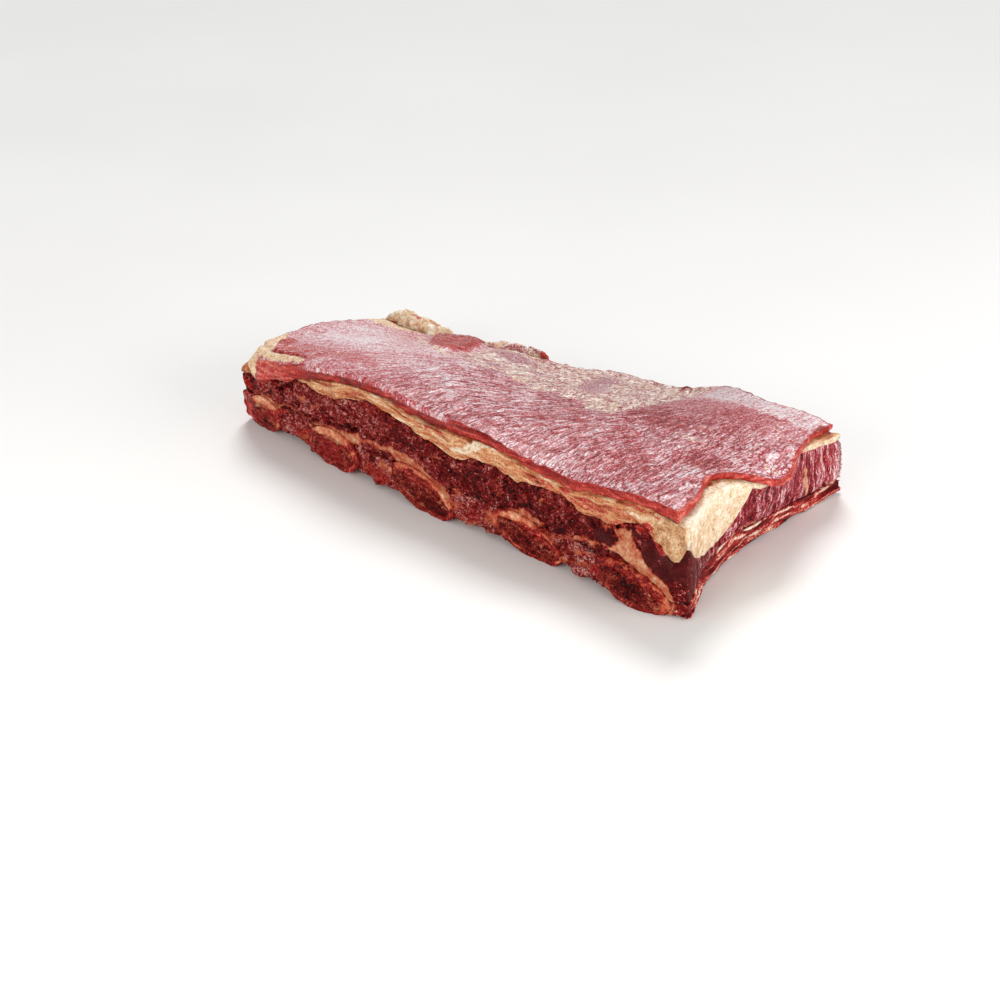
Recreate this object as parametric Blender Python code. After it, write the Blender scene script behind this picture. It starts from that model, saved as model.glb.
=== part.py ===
"""Raw beef ribs: a slab of five sawn ribs under layers of meat, fat and a thin top flap, bone side down.

X runs along the sawn face from its left end, Y from that face to the back, and Z up. The shapes are worked
out in a working frame whose zero is the sawn face's lower left corner, and SHIFT then moves them so that the
origin is at the middle of the underside.
"""

import math

import bmesh
import bpy
import numpy as np
from mathutils import Matrix

MILLIMETRE = 0.001


def mm(*pairs):
    """Stations given in millimetres, as rows of (place, value) in metres."""
    return np.array(pairs, float) * MILLIMETRE


# ---- Driving sizes, in metres ----------------------------------------------------------------------------
LENGTH = 0.400              # along the sawn face
BACK_LENGTH = 0.362         # along the back: the right end leans in
GAP = 0.0015                # clear space left between neighbouring pieces, for their facets
SHIFT = (-0.1997, -0.0825, 0.0)

# Plan and heights at stations along the slab: (x, value), in millimetres.
FRONT_Y = mm((0, 0), (50, -3), (110, -8), (205, -11), (300, -7), (380, -9), (400, -3))
BACK_Y = mm((0, 143), (60, 148), (125, 154), (200, 160), (300, 169), (365, 174))
TOP_FRONT = mm((0, 47), (28, 50), (70, 60), (111, 64), (150, 68), (200, 63), (256, 61), (300, 57), (335, 58),
               (374, 65), (400, 63))
TOP_BACK = mm((0, 31), (75, 27), (122, 31), (160, 29), (200, 30), (240, 34.5), (285, 42), (330, 45), (365, 43))
FLAP_FRONT = mm((0, 12), (60, 11), (110, 8.5), (150, 9.5), (215, 9), (256, 5.5), (320, 5.5), (400, 6.5))
FAT_LOW_FRONT = mm((0, 40), (45, 44), (62, 47), (75, 47), (83, 44.5), (95, 44.5), (110, 47), (120, 49.5),
                   (138, 53), (152, 50.8), (166, 50), (178, 48), (186, 45), (204, 44), (213, 41.2), (225, 41.2),
                   (232, 44.5), (241, 46), (253, 45.5), (262, 43), (268, 41.4), (277, 43.5), (292, 44.8),
                   (312, 43.8), (320, 41), (332, 40.5), (346, 41.5), (358, 45.5), (366, 47.5), (374, 45.5),
                   (380, 41), (388, 38), (394, 37), (400, 42))
CROWN = mm((0, 12), (60, 7), (130, 4), (300, 3), (400, 1))

FACE_TOP_Y = -0.002         # where the sawn face meets the flap, at FACE_HEIGHT
FACE_HEIGHT = 0.065
FLAP_INNER = 0.0045         # thickness of the flap away from the sawn face
FLAP_THINS = 0.22           # the share of the slab's depth over which it thins to that
FLAP_RIM = 0.0022           # how far its sides round in
FAT_INNER = 0.0045          # thickness of the fat seam away from the sawn face
FAT_THINS = 0.40
FAT_TUCK = (0.040, 0.024, 0.0075)   # where the seam stands back under the flap: x, half width and depth
FAT_END = 0.0025            # and along the right end, behind the kernel
FAT_LEAST = 0.0018
SIDE_ROUND = 0.001          # how far the layers' sides round in at their top and bottom
CROWDING = 0.35             # how much closer the facets stand at the right end and the sawn face
MEAT_LEAST = 0.0035
BACK_UNEVEN = 0.0022        # depth of the back edge's waves
TOP_UNEVEN = 0.0011         # and of the top's
FLAP_UNEVEN = (0.0012, 0.0008)      # and of the flap's left and front edges

# The right end: its foot curves in behind the corner, and the meat leans out over it.
END_FOOT_X = 0.365
CORNER_REACH = 0.035
CORNER_FADE = 0.042
END_OVERHANG = 0.015
END_OVERHANG_Y = 0.085
END_OVERHANG_WIDTH = 0.040
END_OVERHANG_AT = 0.045     # the height at which the overhang is full
LEFT_STAND = 0.0005
LEFT_LOBES = 0.0018         # depth of the left end's soft lobes
LEFT_ROUND_FROM = 0.034     # height above which the left end rounds in
LEFT_ROUND_OVER = 0.016
LEFT_ROUND = 0.012

# The fat kernel at the right corner: its underside by y, how far in from the end it reaches, and its swell.
KERNEL_LOW = mm((-12, 41), (0, 40.5), (8, 33), (16, 28), (30, 24), (42, 22.5), (50, 23), (58, 27), (64, 34),
                (70, 46), (76, 60))
KERNEL_WIDTH = 0.030
KERNEL_FADE = 0.022
KERNEL_LEVEL = 0.035
KERNEL_FLANK = (0.368, 0.062)       # its steep side, where the meat keeps further off
KERNEL_FLANK_REACH = (0.020, 0.012)
KERNEL_SWELL = 0.0015
KERNEL_MIDDLE = 0.026

# The flap's own right edge, as (y, x): a wavy trimmed edge that droops over the end at DROOP.
FLAP_RIGHT = mm((0, 393), (20, 388), (48, 375), (68, 381), (88, 389), (100, 387), (120, 376), (136, 369),
                (150, 362), (174, 358))
FLAP_LEFT = mm((-10, 13), (20, 12), (60, 8), (145, 7))
DROOP = (0.396, 0.092)
DROOP_REACH = (0.026, 0.028)
DROOP_DEPTH = 0.009

# ---- The ribs --------------------------------------------------------------------------------------------
# Each rib: x of the middle of its cut face, half width, half thickness, tilt in degrees, the depth within
# which it bends to the left (0 where it runs straight) and its rings. The ribs carry the slab: each one's
# underside is flat along its lowest line.
RIBS = (
    (0.0235, 0.0190, 0.0118, 0.0, 0.0, 4),
    (0.1030, 0.0270, 0.0124, -2.0, 0.0, 4),
    (0.1905, 0.0310, 0.0112, -11.0, 0.0, 4),
    (0.2805, 0.0285, 0.0106, -12.0, 0.0, 4),
    (0.3640, 0.0272, 0.0106, -12.0, 0.055, 11),
)
RIB_FLAT = 0.0008           # how much of a rib's oval the flat takes off
RIB_PROUD = 0.0015          # how far the bones stand out of the sawn face
RIB_CLEAR = 0.0017          # space round the bones, for the meat's facets
RIB_BACK_SCALE = (0.90, 0.62)   # width and thickness of a rib at the back, against the front
RIB_TILT_BACK = 0.45
RIB_SIDES = 16
MARROW_GAP = 0.0004
WALL_SIDE = 0.0045          # bone wall at the rib's edges
WALL_TOP = 0.0052           # and above the marrow, where it is thickest
WALL_BELOW = 0.0024
BED_LEVEL = mm((0, 21), (174, 12.5))    # top of the meat between the ribs, by y
BED_FOOT = mm((0, 4.0), (174, 2.5))     # and its underside
END_FOOT_LIFT = 0.0012      # which comes down to this under the right end
BETWEEN_CUTS = (3, 9, 9)
SKIRT_TOP = mm((-12, 9), (8, 10.5), (22, 12.5), (38, 14.5), (50, 16.5), (60, 17.5), (72, 17), (90, 15),
               (115, 12), (150, 9), (176, 8))   # top of the layered membranes on the right end, by y
SKIRT_LEVEL = 0.015         # the height at which their distance from the end is taken
SKIRT_REACH = 0.032
SKIRT_RISE = 0.024          # width over which it rises from the bed to the end

# ---- The lumps along the back's left half, behind the flap's trimmed back edge ---------------------------
FLAP_SET_BACK = mm((0, 24), (28, 28), (60, 25), (90, 20), (118, 9), (142, 1), (400, 1))
# Each lump: name, its left and right ends, its height over the flap's own level, and how far it stands back.
LUMPS = (
    ("fat_lump", 0.0035, 0.055, 0.0100, 0.001),
    ("meat_lump", 0.0555, 0.088, 0.0050, 0.003),
    ("silver_lump", 0.0885, 0.136, 0.0055, 0.000),
)
LUMP_RIM = 0.004


def along(stations, x):
    """The value at x of a smooth curve through the stations, level past both ends."""
    places, values = stations[:, 0], stations[:, 1]
    slopes = np.gradient(values, places)
    x = np.clip(x, places[0], places[-1])
    i = np.clip(np.searchsorted(places, x, side="right") - 1, 0, len(places) - 2)
    span = places[i + 1] - places[i]
    t = (x - places[i]) / span
    near = values[i] * (1 + 2 * t) + slopes[i] * span * t
    far = values[i + 1] * (3 - 2 * t) - slopes[i + 1] * span * (1 - t)
    return near * (1 - t) ** 2 + far * t**2


def wobble(a, b, wave, seed):
    """Smooth unevenness between about -1 and 1, with lumps about one wave apart, over two coordinates."""
    random = np.random.default_rng(seed)
    total = 0.0
    for turn, phase, stretch in random.uniform((0, 0, 0.7), (math.tau, math.tau, 1.4), (6, 3)):
        reach = math.tau / (wave * stretch)
        total = total + np.sin(reach * (a * math.cos(turn) + b * math.sin(turn)) + phase)
    return total / 3.0


def ease(t):
    """0 below 0, 1 above 1, and smooth between."""
    t = np.clip(t, 0.0, 1.0)
    return t * t * (3.0 - 2.0 * t)


def mix(a, b, t):
    """The value a share t of the way from a to b."""
    return a + (b - a) * t


def hump(x, y, middle, reach):
    """1 at the middle, falling smoothly to 0 at about twice the reach."""
    return np.exp(-(((x - middle[0]) / reach[0]) ** 2) - ((y - middle[1]) / reach[1]) ** 2)


# ---- The slab's outer form -------------------------------------------------------------------------------
def front_y(x, z):
    """The sawn face: it bows out at the foot and stands nearly upright at the top."""
    return mix(along(FRONT_Y, x), FACE_TOP_Y, np.clip(z / FACE_HEIGHT, 0, 1.1))


def back_y(x, z):
    """The back edge, which is uneven."""
    return along(BACK_Y, x) + BACK_UNEVEN * wobble(x, z, 0.055, 3)


def left_x(y, z):
    """The left end, in soft lobes, rounded in towards the top."""
    rounded = LEFT_ROUND * np.clip((z - LEFT_ROUND_FROM) / LEFT_ROUND_OVER, 0, 1.4) ** 2
    return LEFT_STAND + rounded + LEFT_LOBES * wobble(y, z * 2.2, 0.040, 5)


def right_x(y, z):
    """The right end: concave in plan behind the corner, and leaning out at mid depth."""
    foot = END_FOOT_X + CORNER_REACH * np.exp(-((np.clip(y, 0, None) / CORNER_FADE) ** 1.2))
    lean = np.exp(-(((y - END_OVERHANG_Y) / END_OVERHANG_WIDTH) ** 2))
    return foot + END_OVERHANG * lean * np.clip(z / END_OVERHANG_AT, 0, 1.1)


def share_back(x, y):
    """0 at the sawn face and 1 at the back edge."""
    return np.clip(y / along(BACK_Y, x), 0.0, 1.0)


def top_z(x, y):
    """The upper side of the flap."""
    v = share_back(x, y)
    level = mix(along(TOP_FRONT, x), along(TOP_BACK, x), v**1.15)
    crown = along(CROWN, x) * np.sin(math.pi * v**0.6)
    droop = DROOP_DEPTH * hump(x, y, DROOP, DROOP_REACH)
    return level + crown - droop + TOP_UNEVEN * wobble(x, y, 0.075, 11)


def flap_low_z(x, y):
    """The underside of the flap, which is thickest along the sawn face."""
    v = share_back(x, y)
    return top_z(x, y) - mix(along(FLAP_FRONT, x), FLAP_INNER, ease(v / FLAP_THINS))


def bone_bed_z(x, y):
    """The top of the bones and of the meat between them: what the thick meat lies on."""
    bed = between_top_z(x, y)
    for rib in RIBS:
        bed = np.maximum(bed, rib_top_z(rib, x, y))
    return bed


def between_top_z(x, y):
    """The top of the meat between the ribs, and of the membranes at the right end."""
    inside = right_x(y, SKIRT_LEVEL) - x
    return mix(along(BED_LEVEL, y), along(SKIRT_TOP, y), ease((SKIRT_REACH - inside) / SKIRT_RISE))


def fat_low_z(x, y):
    """The underside of the fat seam, lowest in the kernel at the right corner."""
    v = share_back(x, y)
    ceiling = flap_low_z(x, y) - GAP
    inside = right_x(y, KERNEL_LEVEL) - x
    near_end = ease((KERNEL_WIDTH - inside) / KERNEL_FADE)
    inner = ceiling - mix(FAT_INNER, FAT_END, near_end)
    low = mix(along(FAT_LOW_FRONT, x), inner, ease(v / FAT_THINS))
    low = np.minimum(low, mix(low, along(KERNEL_LOW, y), near_end))
    low = np.minimum(low, ceiling - FAT_LEAST)
    return np.maximum(low, bone_bed_z(x, y) + MEAT_LEAST + 2 * GAP)


# ---- The ribs' own form ----------------------------------------------------------------------------------
def rib_section(rib, y, grow=0.0):
    """Middle (x, z), half width, half thickness and tilt of a rib's section at depth y."""
    x, width, thickness, tilt, fade, rings = rib
    v = np.clip(y / along(BACK_Y, x), 0.0, 1.0)
    bend = 1.0 - np.exp(-((v * along(BACK_Y, x) / fade) ** 1.2)) if fade else v
    middle = x * mix(1.0, BACK_LENGTH / LENGTH, bend)
    half_width = width * mix(1.0, RIB_BACK_SCALE[0], v)
    half_thickness = thickness * mix(1.0, RIB_BACK_SCALE[1], v)
    angle = np.radians(tilt) * mix(1.0, RIB_TILT_BACK, v)
    height = np.hypot(half_width * np.sin(angle), half_thickness * np.cos(angle)) - RIB_FLAT
    return middle, height, half_width + grow, half_thickness + grow, angle


def rib_top_z(rib, x, y):
    """Height of a rib's upper side at x, and below the board where the rib isn't."""
    middle, height, a, b, angle = rib_section(rib, y, GAP / 4)
    reach = (a * np.cos(angle)) ** 2 + (b * np.sin(angle)) ** 2
    across = x - middle
    rise = (a * a - b * b) * np.sin(angle) * np.cos(angle) * across
    rise = rise + a * b * np.sqrt(np.clip(reach - across**2, 0, None))
    return np.where(across**2 < reach, height + rise / reach, -1.0)


def rib_flank_x(rib, y, z, side):
    """Where a rib's right (side 1) or left (side -1) flank is at depth y and height z."""
    middle, height, a, b, angle = rib_section(rib, y, RIB_CLEAR)
    reach = (a * np.sin(angle)) ** 2 + (b * np.cos(angle)) ** 2
    limit = np.sqrt(reach)
    up = np.clip(z - height, -limit, limit)
    across = (a * a - b * b) * np.sin(angle) * np.cos(angle) * up
    return middle + (across + side * a * b * np.sqrt(np.clip(reach - up**2, 0, None))) / reach


def rib_skin(rib, angle, y, inner):
    """(x, z) on a rib's outer side, or on the wall of its marrow, at an angle round the section."""
    middle, height, a, b, tilt = rib_section(rib, y)
    a = a - WALL_SIDE * inner
    b = b - 0.5 * (WALL_TOP + WALL_BELOW) * inner
    drop = 0.5 * (WALL_TOP - WALL_BELOW) * inner
    across, up = a * np.cos(angle), b * np.sin(angle) - drop
    x = middle + across * np.cos(tilt) - up * np.sin(tilt)
    z = height + across * np.sin(tilt) + up * np.cos(tilt)
    return x, np.maximum(z, WALL_BELOW * inner)


# ---- Mesh making -----------------------------------------------------------------------------------------
def material(name, colour, roughness):
    """A plain finish in one colour."""
    made = bpy.data.materials.new(name)
    made.use_nodes = True
    shader = made.node_tree.nodes["Principled BSDF"]
    shader.inputs["Base Color"].default_value = (*colour, 1.0)
    shader.inputs["Roughness"].default_value = roughness
    return made


def add_object(name, bm, finish, collection):
    """Turns a bmesh in the working frame into a named object, moved by SHIFT."""
    bmesh.ops.transform(bm, matrix=Matrix.Translation(SHIFT), verts=bm.verts)
    bmesh.ops.recalc_face_normals(bm, faces=bm.faces)
    mesh = bpy.data.meshes.new(name)
    bm.to_mesh(mesh)
    bm.free()
    mesh.shade_smooth()
    mesh.set_sharp_from_angle(angle=math.radians(50))
    mesh.materials.append(finish)
    made = bpy.data.objects.new(name, mesh)
    collection.objects.link(made)
    return made


def unit_block(cuts):
    """A bmesh of the unit cube from 0 to 1, divided into cuts[k] parts along each axis."""
    bm = bmesh.new()
    bmesh.ops.create_cube(bm, size=1.0, matrix=Matrix.Translation((0.5, 0.5, 0.5)))
    for axis, parts in enumerate(cuts):
        if parts > 1:
            edges = [e for e in bm.edges if abs(e.verts[0].co[axis] - e.verts[1].co[axis]) > 0.5]
            bmesh.ops.subdivide_edges(bm, edges=edges, cuts=parts - 1, use_grid_fill=True)
    return bm


def place(bm, x, y, z):
    """Moves a bmesh's vertices to the coordinates in three arrays."""
    for vert, point in zip(bm.verts, np.stack([x, y, z], axis=1)):
        vert.co = point


def layer(name, cuts, edges, low, high, rim, finish, collection):
    """A block bent to lie between two height functions and inside four edge functions.

    edges holds left(y, z), right(y, z), front(x, z) and back(x, z). rim is the radius by which the
    block's sides round in at the top and bottom.
    """
    left, right, front, back = edges
    bm = unit_block(cuts)
    u, v, w = np.array([vert.co for vert in bm.verts]).T
    u = mix(u, 1.0 - (1.0 - u) ** 2, CROWDING)
    v = mix(v, v**2, CROWDING)
    inset = rim * (1.0 - np.sqrt(np.clip(1.0 - (2.0 * w - 1.0) ** 2, 0, 1)))
    x, y = u * LENGTH, v * along(BACK_Y, u * LENGTH)
    for _ in range(4):
        z = mix(low(x, y), high(x, y), w)
        x = mix(left(y, z) + inset, right(y, z) - inset, u)
        y = mix(front(x, z) + inset, back(x, z) - inset, v)
    place(bm, x, y, mix(low(x, y), high(x, y), w))
    return add_object(name, bm, finish, collection)


# ---- The pieces ------------------------------------------------------------------------------------------
def make_flap(finish, collection):
    """The thin muscle that covers the top, trimmed to a wavy edge at the right end."""
    def left(y, z):
        return along(FLAP_LEFT, y) + FLAP_UNEVEN[0] * wobble(y, z, 0.030, 21)

    def right(y, z):
        return along(FLAP_RIGHT, y)

    def front(x, z):
        return FACE_TOP_Y + FLAP_UNEVEN[1] * wobble(x, z, 0.030, 23)

    def back(x, z):
        return back_y(x, z) - along(FLAP_SET_BACK, x)

    return layer("top_flap", (32, 13, 2), (left, right, front, back), flap_low_z, top_z, FLAP_RIM, finish,
                 collection)


def make_fat_seam(finish, collection):
    """The cream fat between the flap and the thick meat, with the kernel at the right corner."""
    def right(y, z):
        return right_x(y, z) + KERNEL_SWELL * hump(y, 0, (KERNEL_MIDDLE, 0), (KERNEL_WIDTH, 1))

    def front(x, z):
        middle, half_width, depth = FAT_TUCK
        return front_y(x, z) + depth * np.exp(-(((x - middle) / half_width) ** 2))

    def high(x, y):
        return flap_low_z(x, y) - GAP * (1.0 + 1.5 * hump(x, y, DROOP, DROOP_REACH))

    return layer("fat_seam", (36, 12, 2), (left_x, right, front, back_y), fat_low_z, high, SIDE_ROUND, finish,
                 collection)


def make_rib_meat(finish, collection):
    """The thick dark meat between the fat seam and the bones."""
    def low(x, y):
        return bone_bed_z(x, y) + GAP

    def high(x, y):
        return fat_low_z(x, y) - GAP * (1.0 + 2.0 * hump(x, y, KERNEL_FLANK, KERNEL_FLANK_REACH))

    return layer("rib_meat", (36, 12, 3), (left_x, right_x, front_y, back_y), low, high, SIDE_ROUND, finish,
                 collection)


def make_rib_bone(number, rib, finish, collection):
    """The hard wall of one rib: an oval tube, open at the cut faces where its marrow shows."""
    bm = bmesh.new()
    for radius in (1.0, 0.5):
        bmesh.ops.create_cone(bm, segments=RIB_SIDES, radius1=radius, radius2=radius, depth=1.0)
    inner = [f for f in bm.faces if f.calc_center_median().xy.length < 0.7]
    bmesh.ops.reverse_faces(bm, faces=inner)
    divide_length(bm, rib)
    rims = [e for e in bm.edges if e.is_boundary]
    for end in (-0.5, 0.5):
        loops = [e for e in rims if abs(e.verts[0].co.z - end) < 0.01]
        bmesh.ops.bridge_loops(bm, edges=loops)
    shape_rib(bm, rib, lambda radius: np.where(radius < 0.7, 1.0, 0.0), 0.0)
    return add_object(f"rib_bone_{number}", bm, finish, collection)


def make_rib_marrow(number, rib, finish, collection):
    """The red marrow that fills one rib, seen at the cut."""
    bm = bmesh.new()
    bmesh.ops.create_cone(bm, segments=RIB_SIDES, radius1=1.0, radius2=1.0, depth=1.0, cap_ends=True)
    divide_length(bm, rib)
    share = 1.0 + MARROW_GAP / WALL_TOP * 3.0
    shape_rib(bm, rib, lambda radius: np.full(radius.shape, share), 0.0006)
    return add_object(f"rib_marrow_{number}", bm, finish, collection)


def divide_length(bm, rib):
    """Cuts a unit cylinder along Z into the rib's rings."""
    edges = [e for e in bm.edges if abs(e.verts[0].co.z - e.verts[1].co.z) > 0.5]
    bmesh.ops.subdivide_edges(bm, edges=edges, cuts=rib[-1] - 1)


def shape_rib(bm, rib, inner_of, recess):
    """Bends a unit cylinder along Z into a rib from front to back, on the board where it would pass below."""
    sx, sy, sz = np.array([vert.co for vert in bm.verts]).T
    angle, radius, v = np.arctan2(sy, sx), np.hypot(sx, sy), sz + 0.5
    ahead = along(FRONT_Y, rib[0]) - RIB_PROUD + recess
    behind = along(BACK_Y, rib[0]) - 0.002 - recess
    y = mix(ahead, behind, v)
    x, z = rib_skin(rib, angle, y, inner_of(radius))
    place(bm, x, y, z)


def make_lump(lump, finish, collection):
    """One of the lumps that bulge up behind the flap."""
    name, start, stop, height, behind = lump

    def top(x, y):
        bulge = np.sin(math.pi * np.clip((x - start) / (stop - start), 0.03, 0.97)) ** 0.55
        depth = np.clip((back_y(x, 0) - y) / (along(FLAP_SET_BACK, x) + 0.001), 0, 1)
        return top_z(x, y) + height * bulge * np.sin(math.pi * (0.12 + 0.76 * depth)) - 0.001

    def front(x, z):
        return back_y(x, z) - along(FLAP_SET_BACK, x) + GAP

    return layer(name, (8, 4, 3),
                 (lambda y, z: start + 0 * y, lambda y, z: stop - GAP + 0 * y, front,
                  lambda x, z: back_y(x, z) - behind),
                 flap_low_z, top, LUMP_RIM, finish, collection)


def make_between_meat(number, name, finish, collection):
    """The meat between two ribs, or beyond the outer ribs at the slab's ends."""
    before = RIBS[number - 1] if number > 0 else None
    after = RIBS[number] if number < len(RIBS) else None

    def left(y, z):
        return rib_flank_x(before, y, z, 1) if before else left_x(y, z)

    def right(y, z):
        return rib_flank_x(after, y, z, -1) if after else right_x(y, z)

    def front(x, z):
        return front_y(x, z) + 0.0004 + 0.0010 * wobble(x, z, 0.018, 41)

    def foot(x, y):
        lift = along(BED_FOOT, y) + 0.0008 * wobble(x, y, 0.025, 43)
        return mix(lift, END_FOOT_LIFT, ease((x - right_x(y, 0.0) + 0.03) / 0.02))

    return between_block(name, left, right, front, foot, between_top_z, finish, collection)


def between_block(name, left, right, front, foot, roof, finish, collection):
    """A block whose two long sides follow the flanks of its neighbours at every height."""
    bm = unit_block(BETWEEN_CUTS)
    u, v, w = np.array([vert.co for vert in bm.verts]).T
    w = mix(w, 0.5 - 0.5 * np.cos(math.pi * w), 0.7)
    y = v * BACK_Y[0, 1]
    x = mix(left(y, 0.012 + 0 * y), right(y, 0.012 + 0 * y), u)
    for _ in range(4):
        z = mix(foot(x, y), roof(x, y), w)
        x = mix(left(y, z), right(y, z), u)
        y = mix(front(x, z), back_y(x, z) - 0.001, v)
    place(bm, x, y, mix(foot(x, y), roof(x, y), w))
    return add_object(name, bm, finish, collection)


def build():
    """Makes every piece of the slab."""
    for old in list(bpy.data.objects):
        bpy.data.objects.remove(old)
    slab = bpy.data.collections.new("beef_ribs")
    bpy.context.scene.collection.children.link(slab)
    flap = material("flap_muscle", (0.55, 0.16, 0.17), 0.35)
    fat = material("fat", (0.78, 0.58, 0.38), 0.45)
    meat = material("dark_meat", (0.20, 0.022, 0.022), 0.45)
    bone = material("bone", (0.66, 0.36, 0.24), 0.5)
    marrow = material("marrow", (0.24, 0.02, 0.02), 0.5)
    between = material("between_meat", (0.30, 0.045, 0.04), 0.45)
    membrane = material("membrane", (0.58, 0.22, 0.20), 0.4)
    make_flap(flap, slab)
    make_fat_seam(fat, slab)
    make_rib_meat(meat, slab)
    for number, rib in enumerate(RIBS, start=1):
        make_rib_bone(number, rib, bone, slab)
        make_rib_marrow(number, rib, marrow, slab)
    for number in range(len(RIBS)):
        make_between_meat(number, f"between_meat_{number + 1}", between, slab)
    make_between_meat(len(RIBS), "end_skirt", membrane, slab)
    for lump, finish in zip(LUMPS, (fat, meat, flap)):
        make_lump(lump, finish, slab)


build()
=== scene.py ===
"""The looks of the raw beef ribs, which lie bone side down.

Five sawn ribs lie under layers of meat, fat and a thin top flap. X runs along the sawn face from
its left end, Y from that face to the back, and Z up. The shapes are worked out in a working frame
whose zero is the sawn face's lower left corner, and SHIFT then moves them so that the origin is at
the middle of the underside. Sizes are in metres unless a name or a comment says millimetres.
"""

import itertools
import logging
import math
from collections.abc import Callable, Sequence
from dataclasses import dataclass
from enum import Enum
from typing import ClassVar

import bmesh
import bpy
import numpy as np
from mathutils import Matrix, Vector


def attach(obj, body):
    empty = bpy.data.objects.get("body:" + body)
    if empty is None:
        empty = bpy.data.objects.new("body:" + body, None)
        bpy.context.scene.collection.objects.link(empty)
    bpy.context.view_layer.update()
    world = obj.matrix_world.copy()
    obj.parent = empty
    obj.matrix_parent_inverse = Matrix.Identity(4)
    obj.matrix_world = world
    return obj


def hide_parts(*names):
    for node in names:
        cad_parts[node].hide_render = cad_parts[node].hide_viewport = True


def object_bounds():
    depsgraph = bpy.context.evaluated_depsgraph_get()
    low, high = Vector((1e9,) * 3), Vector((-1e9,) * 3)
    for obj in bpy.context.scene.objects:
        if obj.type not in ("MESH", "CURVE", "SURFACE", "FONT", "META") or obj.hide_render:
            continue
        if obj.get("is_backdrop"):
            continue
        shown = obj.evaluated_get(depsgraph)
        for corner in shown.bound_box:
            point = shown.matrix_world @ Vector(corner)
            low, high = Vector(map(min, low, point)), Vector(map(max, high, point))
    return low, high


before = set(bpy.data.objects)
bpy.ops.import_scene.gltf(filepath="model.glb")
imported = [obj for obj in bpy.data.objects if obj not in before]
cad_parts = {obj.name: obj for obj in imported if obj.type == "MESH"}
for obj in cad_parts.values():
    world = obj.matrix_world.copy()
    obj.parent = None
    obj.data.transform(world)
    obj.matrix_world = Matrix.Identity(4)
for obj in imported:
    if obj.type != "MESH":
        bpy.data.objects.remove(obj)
CAD_BOX = [list(corner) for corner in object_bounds()]

Array = np.ndarray
Edge = Callable[[Array, Array], Array]
Size = float | Sequence[float]
Pair = tuple[float, float]
Triple = tuple[float, float, float]
Cuts = tuple[int, int, int]
log = logging.getLogger("beef_ribs")

MILLIMETRE = 0.001
SHIFT = np.array((-0.1997, -0.0825, 0.0))
BENDS = 5  # rounds in which a block settles between its sides


# ---- Small maths -------------------------------------------------------------
def mm(*pairs: Pair) -> Array:
    """Stations given in millimetres, as rows of (place, value) in metres."""
    return np.array(pairs, float) * MILLIMETRE


def along(stations: Array, x: Array) -> Array:
    """The value at x of a smooth curve through the stations, level past both ends."""
    places, values = stations[:, 0], stations[:, 1]
    slopes = np.gradient(values, places)
    x = np.clip(x, places[0], places[-1])
    i = np.clip(np.searchsorted(places, x, side="right") - 1, 0, len(places) - 2)
    span = places[i + 1] - places[i]
    t = (x - places[i]) / span
    near = values[i] * (1 + 2 * t) + slopes[i] * span * t
    far = values[i + 1] * (3 - 2 * t) - slopes[i + 1] * span * (1 - t)
    return near * (1 - t) ** 2 + far * t**2


def wobble(a: Array, b: Array, wave: float, seed: int) -> Array:
    """Smooth unevenness over two coordinates, between about -1 and 1, in lumps one wave apart."""
    random = np.random.default_rng(seed)
    total = 0.0
    for turn, phase, stretch in random.uniform((0, 0, 0.7), (math.tau, math.tau, 1.4), (6, 3)):
        reach = math.tau / (wave * stretch)
        total = total + np.sin(reach * (a * math.cos(turn) + b * math.sin(turn)) + phase)
    return total / 3.0


def ease(t: Array) -> Array:
    """0 below 0, 1 above 1, and smooth between."""
    t = np.clip(t, 0.0, 1.0)
    return t * t * (3.0 - 2.0 * t)


def mix(a: Array, b: Array, t: Array) -> Array:
    """The value a share t of the way from a to b."""
    return a + (b - a) * t


def hump(x: Array, y: Array, middle: Sequence[float], reach: Sequence[float]) -> Array:
    """1 at the middle, falling smoothly to 0 at about twice the reach."""
    return np.exp(-(((x - middle[0]) / reach[0]) ** 2) - ((y - middle[1]) / reach[1]) ** 2)


def lattice(points: Array, size: Sequence[float], seed: int) -> Array:
    """Smooth noise between -1 and 1 on a lattice.

    Args:
        points: places, one row each.
        size: the lattice's cell along each axis.
        seed: picks the noise.

    Returns:
        One value for each point.
    """
    table = np.random.default_rng(seed).uniform(-1.0, 1.0, 8192)
    places = points / np.asarray(size, float) + seed * 7.13
    cell = np.floor(places).astype(np.int64)
    part = places - cell
    part = part * part * (3.0 - 2.0 * part)
    total = np.zeros(len(points))
    for corner in itertools.product((0, 1), repeat=3):
        i, j, k = (cell + corner).T
        key = (i * 73856093 ^ j * 19349663 ^ k * 83492791) & 8191
        share = np.prod(np.where(corner, part, 1.0 - part), axis=1)
        total += table[key] * share
    return total


def crumbs(points: Array, size: Size, seed: int, layers: int = 3) -> Array:
    """Noise of several sizes, each half the one before, between about -1 and 1."""
    total, weight = 0.0, 0.0
    size = np.asarray(size, float) * np.ones(3)
    for layer in range(layers):
        total = total + lattice(points, size * 0.5**layer, seed + 31 * layer) * 0.55**layer
        weight += 0.55**layer
    return total / weight * 1.5


def ridges(points: Array, size: Size, seed: int, level: float = 0.72) -> Array:
    """Sharp-topped ridges less a level, which makes them about 0 on average."""
    return 1.0 - np.abs(crumbs(points, size, seed, 2)) - level


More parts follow.
